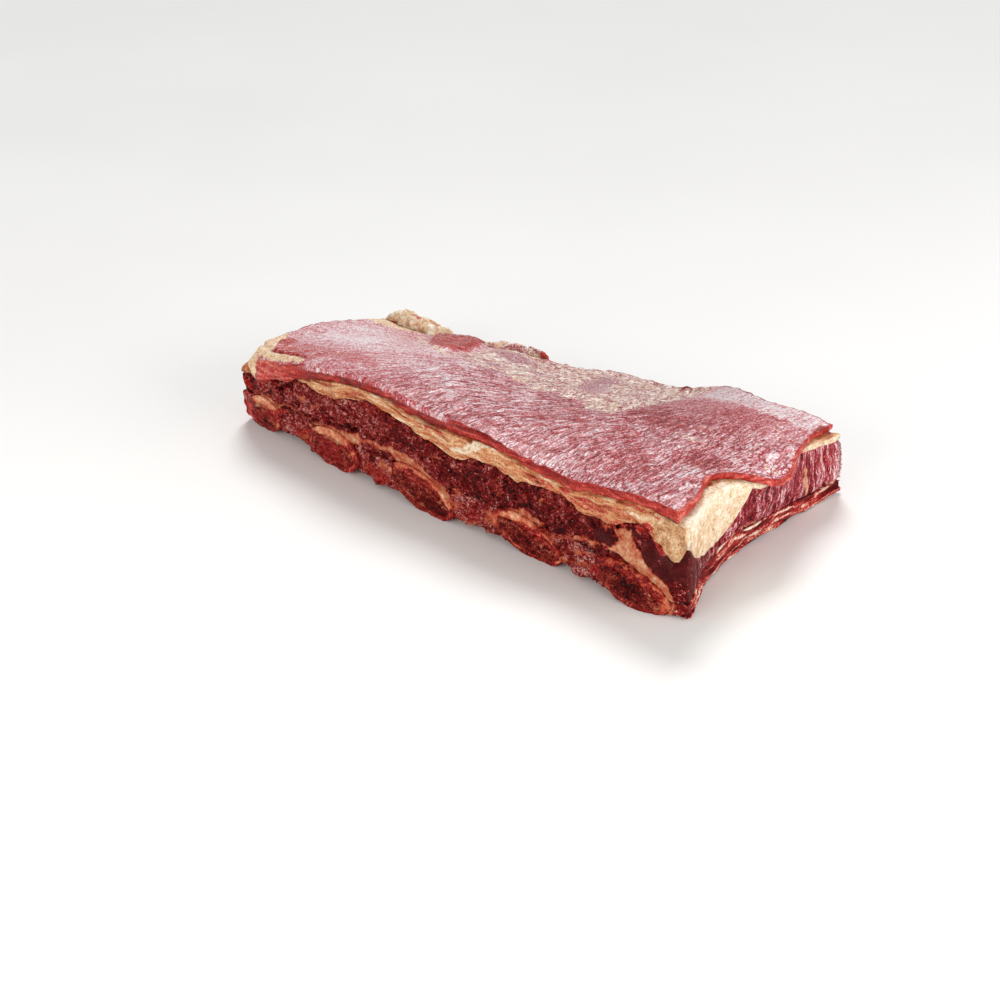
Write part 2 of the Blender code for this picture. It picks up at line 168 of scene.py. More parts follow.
# ---- Listed marks ------------------------------------------------------------
@dataclass(frozen=True)
class Patch:
    """A soft-edged oval mark, its middle and reach in millimetres and its turn in degrees."""

    middle: Pair
    reach: Pair
    turn: float = 0.0
    strength: float = 1.0

    def mask(self, a: Array, b: Array) -> Array:
        """How strongly the mark covers each place, from 0 to its strength."""
        c, s = math.cos(math.radians(self.turn)), math.sin(math.radians(self.turn))
        da, db = a - self.middle[0] * MILLIMETRE, b - self.middle[1] * MILLIMETRE
        far = np.hypot((c * da + s * db) / self.reach[0],
                       (c * db - s * da) / self.reach[1]) / MILLIMETRE
        return self.strength * (1.0 - ease((far - 0.55) / 0.9))


def spans(points: Sequence[Pair]) -> list[tuple[Array, Array]]:
    """The start and the step of each line between points given in millimetres."""
    rows = np.array(points, float)
    return [(p * MILLIMETRE, (q - p) * MILLIMETRE) for p, q in zip(rows, rows[1:])]


def from_line(a: Array, b: Array, start: Array, step: Array) -> tuple[Array, Array]:
    """How far each place is from a line, and the share of the line at which it is nearest."""
    t = np.clip(((a - start[0]) * step[0] + (b - start[1]) * step[1]) / (step @ step), 0, 1)
    return np.hypot(a - start[0] - t * step[0], b - start[1] - t * step[1]), t


@dataclass(frozen=True)
class Stroke:
    """A mark drawn along a line.

    Its points, half width and soft edge are in millimetres, and the taper narrows its ends.
    """

    points: tuple[Pair, ...]
    width: float
    soft: float = 1.0
    strength: float = 1.0
    taper: float = 0.6

    def mask(self, a: Array, b: Array) -> Array:
        """How strongly the mark covers each place, from 0 to its strength."""
        best = np.full(np.shape(a), np.inf)
        ends = len(self.points) - 1
        for i, (start, step) in enumerate(spans(self.points)):
            far, t = from_line(a, b, start, step)
            share = abs(2.0 * (i + t) / ends - 1.0)
            best = np.minimum(best, far / MILLIMETRE - self.width * (1.0 - self.taper * share**2))
        return self.strength * (1.0 - ease((best + self.soft) / (2.0 * self.soft)))


@dataclass(frozen=True)
class Area:
    """A mark that fills an outline, its corners and its soft edge in millimetres."""

    corners: tuple[Pair, ...]
    soft: float = 1.5
    strength: float = 1.0

    def mask(self, a: Array, b: Array) -> Array:
        """How strongly the mark covers each place, from 0 to its strength."""
        inside = np.zeros(np.shape(a), bool)
        best = np.full(np.shape(a), np.inf)
        for start, step in spans(self.corners + self.corners[:1]):
            best = np.minimum(best, from_line(a, b, start, step)[0])
            if step[1]:
                level = (start[1] > b) != (start[1] + step[1] > b)
                inside ^= level & (a < start[0] + step[0] * (b - start[1]) / step[1])
        far = np.where(inside, -best, best) / MILLIMETRE
        return self.strength * (1.0 - ease((far + self.soft) / (2.0 * self.soft)))


Marks = Sequence[Patch | Stroke | Area]


@dataclass(frozen=True)
class Rough:
    """How unevenly the outlines of marks run: a shift of each place before it is looked up."""

    amount: float = 0.0016
    size: float = 0.0045
    seed: int = 71

    def moved(self, points: Array, a: Array, b: Array) -> tuple[Array, Array]:
        """The places, shifted by lumpy noise."""
        return (a + self.amount * crumbs(points, self.size, self.seed, 2),
                b + self.amount * crumbs(points, self.size, self.seed + 5, 2))


def marked(marks: Marks, a: Array, b: Array) -> Array:
    """The marks laid over each other.

    Args:
        marks: patches, strokes and areas.
        a: first coordinate of each place.
        b: second coordinate of each place.

    Returns:
        A value from 0 to 1 for each place.
    """
    total = np.zeros(np.shape(a))
    for mark in marks:
        total = np.maximum(total, mark.mask(a, b))
    return np.clip(total, 0.0, 1.0)


def summed(marks: Marks, a: Array, b: Array) -> Array:
    """The marks added up, where some have a strength below zero."""
    return sum(mark.mask(a, b) for mark in marks)


# ---- The slab's form ---------------------------------------------------------
@dataclass(frozen=True)
class Rib:
    """One rib: the middle of its cut face, half width, half thickness, tilt and depth of its bend."""

    x: float
    width: float
    thickness: float
    tilt: float
    bend: float = 0.0

    BACK_SCALE: ClassVar[Pair] = (0.90, 0.62)
    TILT_BACK: ClassVar[float] = 0.45
    FLAT: ClassVar[float] = 0.0008
    WALL_SIDE: ClassVar[float] = 0.0045
    WALL_TOP: ClassVar[float] = 0.0052
    WALL_BELOW: ClassVar[float] = 0.0024

    def section(self, y: Array, grow: float = 0.0) -> tuple[Array, Array, Array, Array, Array]:
        """Middle (x, z), half width, half thickness and tilt of the rib's section at depth y."""
        depth = along(SlabForm.BACK_Y, self.x)
        v = np.clip(y / depth, 0.0, 1.0)
        bent = 1.0 - np.exp(-((v * depth / self.bend) ** 1.2)) if self.bend else v
        middle = self.x * mix(1.0, SlabForm.BACK_LENGTH / SlabForm.LENGTH, bent)
        half_width = self.width * mix(1.0, self.BACK_SCALE[0], v)
        half_thickness = self.thickness * mix(1.0, self.BACK_SCALE[1], v)
        angle = np.radians(self.tilt) * mix(1.0, self.TILT_BACK, v)
        height = np.hypot(half_width * np.sin(angle), half_thickness * np.cos(angle)) - self.FLAT
        return middle, height, half_width + grow, half_thickness + grow, angle

    def top_z(self, x: Array, y: Array) -> Array:
        """Height of the rib's upper side at x, and below the floor where the rib isn't."""
        middle, height, a, b, angle = self.section(y, 0.0003)
        reach = (a * np.cos(angle)) ** 2 + (b * np.sin(angle)) ** 2
        across = x - middle
        rise = (a * a - b * b) * np.sin(angle) * np.cos(angle) * across
        rise = rise + a * b * np.sqrt(np.clip(reach - across**2, 0, None))
        return np.where(across**2 < reach, height + rise / reach, -1.0)

    def flank_x(self, y: Array, z: Array, side: int) -> Array:
        """Where the rib's right (side 1) or left (side -1) flank is at depth y and height z."""
        middle, height, a, b, angle = self.section(y, 0.0002)
        reach = (a * np.sin(angle)) ** 2 + (b * np.cos(angle)) ** 2
        limit = np.sqrt(reach)
        up = np.clip(z - height, -limit, limit)
        across = (a * a - b * b) * np.sin(angle) * np.cos(angle) * up
        return middle + (across + side * a * b * np.sqrt(np.clip(reach - up**2, 0, None))) / reach

    def skin(self, angle: Array, y: Array, inner: Array) -> tuple[Array, Array]:
        """(x, z) on the rib's outer side (inner 0) or on the wall of its marrow (inner 1)."""
        middle, height, a, b, tilt = self.section(y)
        a = a - self.WALL_SIDE * inner
        b = b - 0.5 * (self.WALL_TOP + self.WALL_BELOW) * inner
        drop = 0.5 * (self.WALL_TOP - self.WALL_BELOW) * inner
        across, up = a * np.cos(angle), b * np.sin(angle) - drop
        x = middle + across * np.cos(tilt) - up * np.sin(tilt)
        z = height + across * np.sin(tilt) + up * np.cos(tilt)
        return x, np.maximum(z, self.WALL_BELOW * inner)


RIBS = (
    Rib(0.0235, 0.0190, 0.0118, 0.0),
    Rib(0.1030, 0.0270, 0.0124, -2.0),
    Rib(0.1905, 0.0310, 0.0112, -11.0),
    Rib(0.2805, 0.0285, 0.0106, -12.0),
    Rib(0.3640, 0.0272, 0.0106, -12.0, 0.055),
)


class SlabForm:
    """The slab's outer form and the surfaces between its layers, in the working frame."""

    LENGTH = 0.400
    BACK_LENGTH = 0.362
    FRONT_Y = mm((0, 0), (50, -3), (110, -8), (205, -11), (300, -7), (380, -9), (400, -3))
    BACK_Y = mm((0, 143), (60, 148), (125, 154), (200, 160), (300, 169), (365, 174))
    TOP_FRONT = mm((0, 47), (28, 50), (70, 60), (111, 64), (150, 68), (200, 63), (256, 61), (300, 57),
                   (335, 58), (374, 65), (400, 63))
    TOP_BACK = mm((0, 31), (75, 27), (122, 31), (160, 29), (200, 30), (240, 34.5), (285, 42), (330, 45),
                  (365, 43))
    FLAP_FRONT = mm((0, 12), (60, 11), (110, 8.5), (150, 9.5), (215, 9), (256, 5.5), (320, 5.5),
                    (400, 6.5))
    FAT_LOW_FRONT = mm((0, 40), (45, 44), (62, 47), (75, 47), (83, 44.5), (95, 44.5), (110, 47),
                       (120, 49.5), (138, 53), (152, 50.8), (166, 50), (178, 48), (186, 45),
                       (204, 44), (213, 41.2), (225, 41.2), (232, 44.5), (241, 46), (253, 45.5),
                       (262, 43), (268, 41.4), (277, 43.5), (292, 44.8), (312, 43.8), (320, 41),
                       (332, 40.5), (346, 41.5), (358, 45.5), (366, 47.5), (374, 45.5), (380, 42),
                       (388, 36.5), (393, 33.5), (396.5, 38), (400, 45))
    CROWN = mm((0, 12), (60, 7), (130, 4), (300, 3), (400, 1))
    KERNEL_LOW = mm((-12, 46), (-2, 46), (3, 40), (8, 34), (16, 28), (30, 24), (42, 22.5), (50, 23),
                    (58, 27), (64, 34), (70, 46), (76, 60))
    FLAP_RIGHT = mm((0, 393), (20, 388), (48, 375), (68, 381), (88, 389), (100, 387), (120, 376),
                    (136, 369), (150, 362), (174, 358))
    FLAP_LEFT = mm((-10, 13), (20, 12), (60, 8), (145, 7))
    FLAP_SET_BACK = mm((0, 24), (28, 28), (60, 25), (90, 20), (118, 9), (142, 1), (400, 1))
    BED_LEVEL = mm((0, 21), (174, 12.5))
    BED_FOOT = mm((0, 4.0), (174, 2.5))
    SKIRT_TOP = mm((-12, 9), (8, 10.5), (22, 12.5), (38, 14.5), (50, 16.5), (60, 17.5), (72, 17),
                   (90, 15), (115, 12), (150, 9), (176, 8))
    FACE_TOP_Y = -0.002
    DROOP = (0.396, 0.092)
    DROOP_REACH = (0.026, 0.028)

    @classmethod
    def front_y(cls, x: Array, z: Array) -> Array:
        """The sawn face: it bows out at the foot and stands nearly upright at the top."""
        return mix(along(cls.FRONT_Y, x), cls.FACE_TOP_Y, np.clip(z / 0.065, 0, 1.1))

    @classmethod
    def back_y(cls, x: Array, z: Array) -> Array:
        """The back edge, which is uneven."""
        return along(cls.BACK_Y, x) + 0.0022 * wobble(x, z, 0.055, 3)

    @classmethod
    def left_x(cls, y: Array, z: Array) -> Array:
        """The left end, in soft lobes, rounded in towards the top."""
        rounded = 0.012 * np.clip((z - 0.034) / 0.016, 0, 1.4) ** 2
        return 0.0005 + rounded + 0.0018 * wobble(y, z * 2.2, 0.040, 5)

    @classmethod
    def right_x(cls, y: Array, z: Array) -> Array:
        """The right end: concave in plan behind the corner, and leaning out at mid depth."""
        foot = 0.365 + 0.035 * np.exp(-((np.clip(y, 0, None) / 0.042) ** 1.2))
        lean = np.exp(-(((y - 0.085) / 0.040) ** 2))
        return foot + 0.015 * lean * np.clip(z / 0.045, 0, 1.1)

    @classmethod
    def share_back(cls, x: Array, y: Array) -> Array:
        """0 at the sawn face and 1 at the back edge."""
        return np.clip(y / along(cls.BACK_Y, x), 0.0, 1.0)

    @classmethod
    def top_z(cls, x: Array, y: Array) -> Array:
        """The upper side of the flap."""
        v = cls.share_back(x, y)
        level = mix(along(cls.TOP_FRONT, x), along(cls.TOP_BACK, x), v**1.15)
        crown = along(cls.CROWN, x) * np.sin(math.pi * v**0.6)
        droop = 0.009 * hump(x, y, cls.DROOP, cls.DROOP_REACH)
        return level + crown - droop + 0.0011 * wobble(x, y, 0.075, 11)

    @classmethod
    def flap_low_z(cls, x: Array, y: Array) -> Array:
        """The underside of the flap, which is thickest along the sawn face."""
        v = cls.share_back(x, y)
        return cls.top_z(x, y) - mix(along(cls.FLAP_FRONT, x), 0.0045, ease(v / 0.22))

    @classmethod
    def between_top_z(cls, x: Array, y: Array) -> Array:
        """The top of the meat between the ribs, and of the membranes at the right end."""
        inside = cls.right_x(y, 0.015) - x
        return mix(along(cls.BED_LEVEL, y), along(cls.SKIRT_TOP, y), ease((0.032 - inside) / 0.024))

    @classmethod
    def bed_z(cls, x: Array, y: Array) -> Array:
        """The top of the bones and of the meat between them: what the thick meat lies on."""
        bed = cls.between_top_z(x, y)
        for rib in RIBS:
            bed = np.maximum(bed, rib.top_z(x, y))
        return bed

    @classmethod
    def fat_low_z(cls, x: Array, y: Array) -> Array:
        """The underside of the fat seam, lowest in the kernel at the right corner."""
        v = cls.share_back(x, y)
        ceiling = cls.flap_low_z(x, y)
        near_end = ease((0.030 - (cls.right_x(y, 0.035) - x)) / 0.022)
        low = mix(along(cls.FAT_LOW_FRONT, x), ceiling - mix(0.0055, 0.0035, near_end), ease(v / 0.40))
        low = np.minimum(low, mix(low, along(cls.KERNEL_LOW, y), near_end))
        low = np.minimum(low, ceiling - 0.0022)
        return np.maximum(low, cls.bed_z(x, y) + 0.005)


class FibreField:
    """The lie of the muscle fibres over the top, which turn and bend along the slab."""

    TURN: ClassVar[Array] = np.array(((0, 30), (60, 36), (107, 56), (150, 76), (205, 82), (260, 96),
                                      (320, 104), (400, 96)), float)
    STEP: ClassVar[float] = 0.001

    def __init__(self) -> None:
        """Sums the direction along the slab."""
        self.places = np.arange(-0.05, 0.46, self.STEP)
        self.angles = np.radians(along(self.TURN, self.places / MILLIMETRE))
        self.sines = np.cumsum(np.sin(self.angles)) * self.STEP
        self.cosines = np.cumsum(np.cos(self.angles)) * self.STEP

    def lay(self, x: Array, y: Array, z: Array) -> Array:
        """Coordinates that run along and across the fibres.

        Args:
            x: places along the sawn face.
            y: places back from it.
            z: heights.

        Returns:
            Rows of (along the fibres, across them, height).
        """
        lean = np.exp(-(((x - 0.215) / 0.075) ** 2)) * 0.85
        depth = np.clip(y - 0.030, 0, None)
        x = x - lean * depth**2 / (depth + 0.015)
        angle = np.interp(x, self.places, self.angles)
        length = np.interp(x, self.places, self.cosines) + np.sin(angle) * y
        across = np.interp(x, self.places, self.sines) - np.cos(angle) * y
        return np.stack([length, across, z], axis=1)


FIBRES = FibreField()


# ---- Shader wiring -----------------------------------------------------------
def shade(red: float, green: float, blue: float) -> tuple[float, float, float, float]:
    """A colour given as screen values from 0 to 255, as the linear values that a socket takes."""
    values = np.array((red, green, blue)) / 255.0
    linear = np.where(values <= 0.04045, values / 12.92, ((values + 0.055) / 1.055) ** 2.4)
    return (*(float(v) for v in linear), 1.0)


Socket = bpy.types.NodeSocket
Value = Socket | float
Colour = tuple[float, float, float]
Stops = Sequence[tuple[float, Colour]]
Repeats = tuple[float, float, float]


class Wiring:
    """A short way to wire the nodes of one material."""

    RAGGED: ClassVar[Pair] = (0.36, 0.68)
    CLOUDS: ClassVar[float] = 170.0
    # Near-black painted shade, laid where the faces have recessed gaps.
    PAINTED_GAP_SHADE: ClassVar[Colour] = (16, 1, 1)

    def __init__(self, name: str) -> None:
        """Makes the material and keeps its shader."""
        self.material = bpy.data.materials.new(name)
        self.material.use_nodes = True
        self.tree = self.material.node_tree
        self.shader = self.tree.nodes["Principled BSDF"]
        self.place = self.tree.nodes.new("ShaderNodeTexCoord").outputs["Object"]

    def feed(self, socket: Socket, value: Value | Sequence[float]) -> None:
        """Links a socket or sets its constant."""
        if isinstance(value, Socket):
            self.tree.links.new(value, socket)
        else:
            socket.default_value = value

    def node(self, kind: str, inputs: dict, **settings: str) -> bpy.types.Node:
        """Makes a node.

        Args:
            kind: its type.
            inputs: the sockets or constants that its inputs take, by name or number.
            settings: its properties.

        Returns:
            The node.
        """
        made = self.tree.nodes.new(kind)
        for name, value in settings.items():
            setattr(made, name, value)
        for key, value in inputs.items():
            self.feed(made.inputs[key], value)
        return made

    def mark(self, name: str) -> Socket:
        """The value of an attribute that the mesh holds."""
        return self.node("ShaderNodeAttribute", {}, attribute_name=name).outputs["Fac"]

    def field(self, name: str) -> Socket:
        """The vector of an attribute that the mesh holds."""
        return self.node("ShaderNodeAttribute", {}, attribute_name=name).outputs["Vector"]

    def stretch(self, vector: Socket, scale: Sequence[float]) -> Socket:
        """A vector multiplied by a scale along each axis."""
        return self.node("ShaderNodeMapping", {"Vector": vector, "Scale": scale}).outputs["Vector"]

    def warp(self, vector: Socket, scale: float, amount: float) -> Socket:
        """A vector shifted by noise, so that a regular pattern runs unevenly."""
        noise = self.node("ShaderNodeTexNoise", {"Vector": vector, "Scale": scale})
        inputs = {0: noise.outputs["Color"], 1: (amount, amount, amount), 2: vector}
        return self.node("ShaderNodeVectorMath", inputs, operation="MULTIPLY_ADD").outputs[0]

    def noise(self, vector: Socket, scale: float, detail: float = 3.0, rough: float = 0.6,
              warp: float = 0.0) -> Socket:
        """Cloudy noise, about 0.5 on average."""
        inputs = {"Vector": vector, "Scale": scale, "Detail": detail, "Roughness": rough,
                  "Distortion": warp}
        return self.node("ShaderNodeTexNoise", inputs).outputs[0]

    def drawn(self, vector: Socket, repeats: Repeats, detail: float = 3.0, rough: float = 0.6,
              warp: float = 0.0) -> Socket:
        """Noise drawn out along some axes: repeats says how often it changes along each, a metre."""
        return self.noise(self.stretch(vector, repeats), 1.0, detail, rough, warp)

    def cells(self, vector: Socket, scale: float, feature: str = "F1") -> bpy.types.Node:
        """A cell pattern, which gives the distance from a cell's middle or edge, and its colour."""
        return self.node("ShaderNodeTexVoronoi", {"Vector": vector, "Scale": scale}, feature=feature)

    def maths(self, kind: str, a: Value, b: Value = 0.0) -> Socket:
        """One operation on two values, named as the node names it."""
        return self.node("ShaderNodeMath", {0: a, 1: b}, operation=kind).outputs[0]

    def plus(self, a: Value, b: Value) -> Socket:
        """The sum of two values."""
        return self.maths("ADD", a, b)

    def minus(self, a: Value, b: Value) -> Socket:
        """One value less another."""
        return self.maths("SUBTRACT", a, b)

    def times(self, a: Value, b: Value) -> Socket:
        """The product of two values."""
        return self.maths("MULTIPLY", a, b)

    def around(self, base: Value, *parts: tuple[Socket, float]) -> Value:
        """A base value, moved up and down by weighted noises that are 0.5 on average."""
        total = base
        for socket, weight in parts:
            inputs = {0: self.minus(socket, 0.5), 1: weight, 2: total}
            total = self.node("ShaderNodeMath", inputs, operation="MULTIPLY_ADD").outputs[0]
        return total

    def step(self, value: Value, low: float, high: float) -> Socket:
        """0 below low, 1 above high, and smooth between."""
        inputs = {"Value": value, "From Min": low, "From Max": high}
        made = self.node("ShaderNodeMapRange", inputs, interpolation_type="SMOOTHSTEP")
        return made.outputs["Result"]

    def ragged(self, mask: Socket, noise: Socket, amount: float = 1.5) -> Socket:
        """A soft mask with its edge broken up by noise."""
        return self.step(self.around(mask, (noise, amount)), *self.RAGGED)

    def seams(self, noise: Socket, width: float) -> Socket:
        """Thin lines where the noise passes its average: 1 on a line and 0 off it."""
        off = self.maths("ABSOLUTE", self.minus(noise, 0.5))
        return self.minus(1.0, self.step(off, 0.0, width))

    def ramp(self, value: Socket, stops: Stops) -> Socket:
        """A colour for each value, by stops of (value, screen colour)."""
        node = self.node("ShaderNodeValToRGB", {"Fac": value})
        points = node.color_ramp.elements
        while len(points) < len(stops):
            points.new(0.5)
        for point, (place, _) in zip(points, stops):
            point.position = place
        for point, (_, colour) in zip(points, stops):
            point.color = shade(*colour)
        return node.outputs["Color"]

    def tint(self, stops: Stops, base: Value, *parts: tuple[Socket, float]) -> Socket:
        """A colour that a base value and weighted noises pick from stops."""
        return self.ramp(self.around(base, *parts), stops)

    def over(self, below: Socket, above: Socket | Colour, share: Value) -> Socket:
        """One colour over another, by a share."""
        colour = above if isinstance(above, Socket) else shade(*above)
        return self.node("ShaderNodeMix", {0: share, 6: below, 7: colour}, data_type="RGBA").outputs[2]

    def sawn(self, colour: Socket, clump: Socket, grain: Socket, pale: Value = 0.22) -> Socket:
        """The marks raw and fascia over a colour, and a near-black painted shade in the recessed gaps,
        alike on all pieces at the sawn face.
        """
        cloud = self.noise(self.place, self.CLOUDS, 4.0, 0.6)
        raw = self.tint(Palette.RAW, 0.46, (clump, 1.0), (grain, 0.8))
        colour = self.over(colour, raw, self.ragged(self.mark("raw"), clump, 1.8))
        mask = self.mark("fascia")
        level = self.plus(self.times(mask, 0.36), pale)
        fascia = self.tint(Palette.FASCIA, level, (cloud, 0.8), (clump, 0.4), (grain, 0.5))
        share = self.step(self.around(mask, (clump, 1.3), (cloud, 0.7)), 0.26, 0.74)
        colour = self.over(colour, fascia, share)
        # Painted shade: near-black in the recessed gaps.
        return self.over(colour, self.PAINTED_GAP_SHADE, self.times(self.mark("gap"), 0.92))

    def painted_glints(self, scale: float, share: float) -> Socket:
        """Scattered small round spots, where a finish paints highlights: 1 on a spot and 0 off it."""
        beads = self.cells(self.place, scale)
        chosen = self.step(beads.outputs["Color"], share, share + 0.1)
        near = self.minus(1.0, self.step(beads.outputs["Distance"], 0.15, 0.45))
        return self.times(chosen, near)

    def bump(self, height: Socket, distance: float) -> Socket:
        """A normal bent by a height, whose full range stands for a distance."""
        inputs = {"Distance": distance, "Height": height}
        return self.node("ShaderNodeBump", inputs).outputs["Normal"]

    def close(self, colour: Socket, roughness: Socket, normal: Socket,
              wet: "Wet") -> bpy.types.Material:
        """Feeds the shader and gives back the material."""
        self.feed(self.shader.inputs["Base Color"], colour)
        self.feed(self.shader.inputs["Roughness"], roughness)
        self.feed(self.shader.inputs["Normal"], normal)
        wet.set_on(self.shader)
        return self.material


@dataclass(frozen=True)
class Wet:
    """How wet and how soft a flesh is: constants of its shader."""

    coat: float = 0.12
    coat_roughness: float = 0.12
    depth: float = 0.10
    reach: Triple = (0.0024, 0.0009, 0.0007)
    specular: float = 0.14

    def set_on(self, shader: bpy.types.Node) -> None:
        """Sets the shader's constants."""
        shader.inputs["Coat Weight"].default_value = self.coat
        shader.inputs["Coat Roughness"].default_value = self.coat_roughness
        shader.inputs["Subsurface Weight"].default_value = self.depth
        shader.inputs["Subsurface Radius"].default_value = self.reach
        shader.inputs["Subsurface Scale"].default_value = 1.0
        shader.inputs["Specular IOR Level"].default_value = self.specular


# ---- Finishes ----------------------------------------------------------------
class Palette:
    """The colours that the finishes share, as stops along a noise from 0 to 1."""

    FILM: Stops = ((0.10, (146, 8, 18)), (0.28, (184, 42, 50)), (0.42, (202, 90, 98)),
                   (0.54, (212, 136, 144)), (0.68, (228, 184, 192)), (0.88, (255, 248, 250)))
    SCRAP: Stops = ((0.12, (126, 30, 28)), (0.28, (174, 82, 74)), (0.42, (198, 134, 138)),
                    (0.54, (214, 172, 176)), (0.66, (234, 206, 182)), (0.84, (255, 250, 240)))
    SILVER: Stops = ((0.26, (128, 44, 64)), (0.50, (178, 106, 124)), (0.74, (214, 176, 190)))
    RAW: Stops = ((0.22, (100, 4, 6)), (0.42, (162, 22, 20)), (0.58, (200, 64, 56)),
                  (0.80, (240, 164, 152)))
    BAND: Stops = ((0.22, (84, 4, 4)), (0.42, (142, 18, 14)), (0.58, (196, 54, 44)),
                   (0.80, (236, 144, 126)))
    CREAM: Stops = ((0.16, (150, 58, 36)), (0.34, (196, 116, 76)), (0.54, (222, 166, 118)),
                    (0.80, (250, 230, 196)))
    KERNEL: Stops = ((0.16, (170, 108, 66)), (0.34, (208, 164, 120)), (0.50, (231, 205, 170)),
                     (0.64, (246, 231, 208)), (0.84, (255, 251, 244)))
    FASCIA: Stops = ((0.18, (126, 18, 14)), (0.38, (180, 60, 42)), (0.54, (208, 114, 82)),
                     (0.68, (230, 170, 130)), (0.84, (252, 228, 198)))
    SHEETS: Stops = ((0.14, (88, 6, 8)), (0.34, (152, 26, 26)), (0.48, (188, 58, 52)),
                     (0.58, (216, 130, 112)), (0.68, (240, 206, 182)), (0.86, (252, 238, 222)))
    DARK: Stops = ((0.16, (28, 0, 2)), (0.34, (78, 2, 6)), (0.50, (124, 18, 18)), (0.66, (172, 42, 38)),
                   (0.90, (238, 170, 160)))
    SATIN: Stops = ((0.25, (50, 2, 6)), (0.50, (88, 14, 16)), (0.75, (134, 46, 46)))
    FIBRE: Stops = ((0.14, (66, 0, 6)), (0.34, (130, 14, 24)), (0.50, (176, 52, 62)),
                    (0.62, (206, 112, 120)), (0.78, (250, 224, 228)))
    MARROW: Stops = ((0.20, (40, 0, 2)), (0.38, (98, 8, 8)), (0.54, (150, 30, 24)),
                     (0.68, (188, 72, 54)), (0.84, (232, 162, 134)))


@dataclass(frozen=True)
class FlapFinish:
    """Thin muscle under a moist film: lilac fibres on red flesh, with fat, raw spots, cut edges and
    small painted highlights.
    """

    name: str = "flap_muscle"
    wet: Wet = Wet(coat=0.16, coat_roughness=0.22, specular=0.20)
    streaks: Repeats = (100, 540, 100)
    threads: Repeats = (270, 900, 270)
    partings: Repeats = (75, 330, 75)
    flakes: Repeats = (110, 420, 170)
    strands: Repeats = (46, 170, 80)
    hems: Repeats = (60, 90, 620)
    grains: float = 720.0
    clumps: float = 330.0
    painted_glints: float = 1150.0
    painted_glint_share: float = 0.56
    painted_glint_colour: Colour = (255, 248, 249)
    relief: float = 0.0016

    def material(self) -> bpy.types.Material:
        """Wires the finish.

        Reads the attributes fibre, film, furrow, scrap, silver, fat, raw, edge and tone.
        """
        net = Wiring(self.name)
        fibre = net.field("fibre")
        streak = net.drawn(fibre, self.streaks, 3.0, 0.65, 0.5)
        thread = net.drawn(fibre, self.threads, 3.0, 0.7, 0.8)
        grain = net.noise(net.place, self.grains, 3.0, 0.8)
        clump = net.noise(net.place, self.clumps, 4.0, 0.62)
        parting = net.seams(net.drawn(fibre, self.partings, 2.0, 0.6, 0.4), 0.060)
        furrow = net.times(parting, net.mark("furrow"))
        level = net.around(net.mark("film"), (streak, 0.95), (thread, 1.15), (grain, 1.9))
        colour = net.ramp(net.minus(level, net.times(furrow, 0.34)), Palette.FILM)
        crooked = net.warp(fibre, 60.0, 0.010)
        flake = net.drawn(crooked, self.flakes, 4.0, 0.75, 1.0)
        scrap = net.tint(Palette.SCRAP, 0.53, (flake, 3.1), (clump, 1.3), (grain, 2.0))
        strand = net.seams(net.drawn(crooked, self.strands, 3.0, 0.65, 0.8), 0.030)
        strand = net.times(strand, net.step(clump, 0.42, 0.60))
        scrap = net.over(scrap, net.tint(Palette.CREAM, 0.5, (clump, 1.2), (grain, 1.2)), strand)
        share = net.step(net.around(net.mark("scrap"), (flake, 1.8), (clump, 1.4)), 0.16, 0.86)
        colour = net.over(colour, scrap, share)
        silver = net.tint(Palette.SILVER, 0.5, (thread, 1.0), (streak, 0.8), (grain, 0.9))
        cover = net.step(net.around(net.mark("silver"), (streak, 1.2), (flake, 1.3)), 0.20, 1.00)
        colour = net.over(colour, silver, net.times(cover, 0.85))
        raw = net.tint(Palette.RAW, 0.47, (streak, 1.2), (thread, 0.7), (grain, 0.7))
        colour = net.over(colour, raw, net.ragged(net.mark("raw"), streak, 2.4))
        hem = net.drawn(net.place, self.hems, 3.0, 0.6, 0.3)
        band = net.tint(Palette.BAND, net.mark("tone"), (hem, 0.9), (clump, 0.3), (grain, 0.5))
        colour = net.over(colour, band, net.ragged(net.mark("edge"), hem, 0.9))
        cream = net.tint(Palette.CREAM, 0.68, (clump, 0.9), (grain, 0.7))
        colour = net.over(colour, cream, net.ragged(net.mark("fat"), clump, 2.2))
        # Painted highlights: near-white spots over the film, kept off the cut edges.
        shining = net.times(net.minus(1.0, net.mark("edge")), 0.62)
        painted_glint = net.times(net.painted_glints(self.painted_glints, self.painted_glint_share), shining)
        colour = net.over(colour, self.painted_glint_colour, painted_glint)
        height = net.around(0.5, (streak, 0.3), (thread, 0.45), (grain, 0.5), (furrow, -0.6))
        return net.close(colour, net.around(0.34, (grain, 0.7)), net.bump(height, self.relief),
                         self.wet)


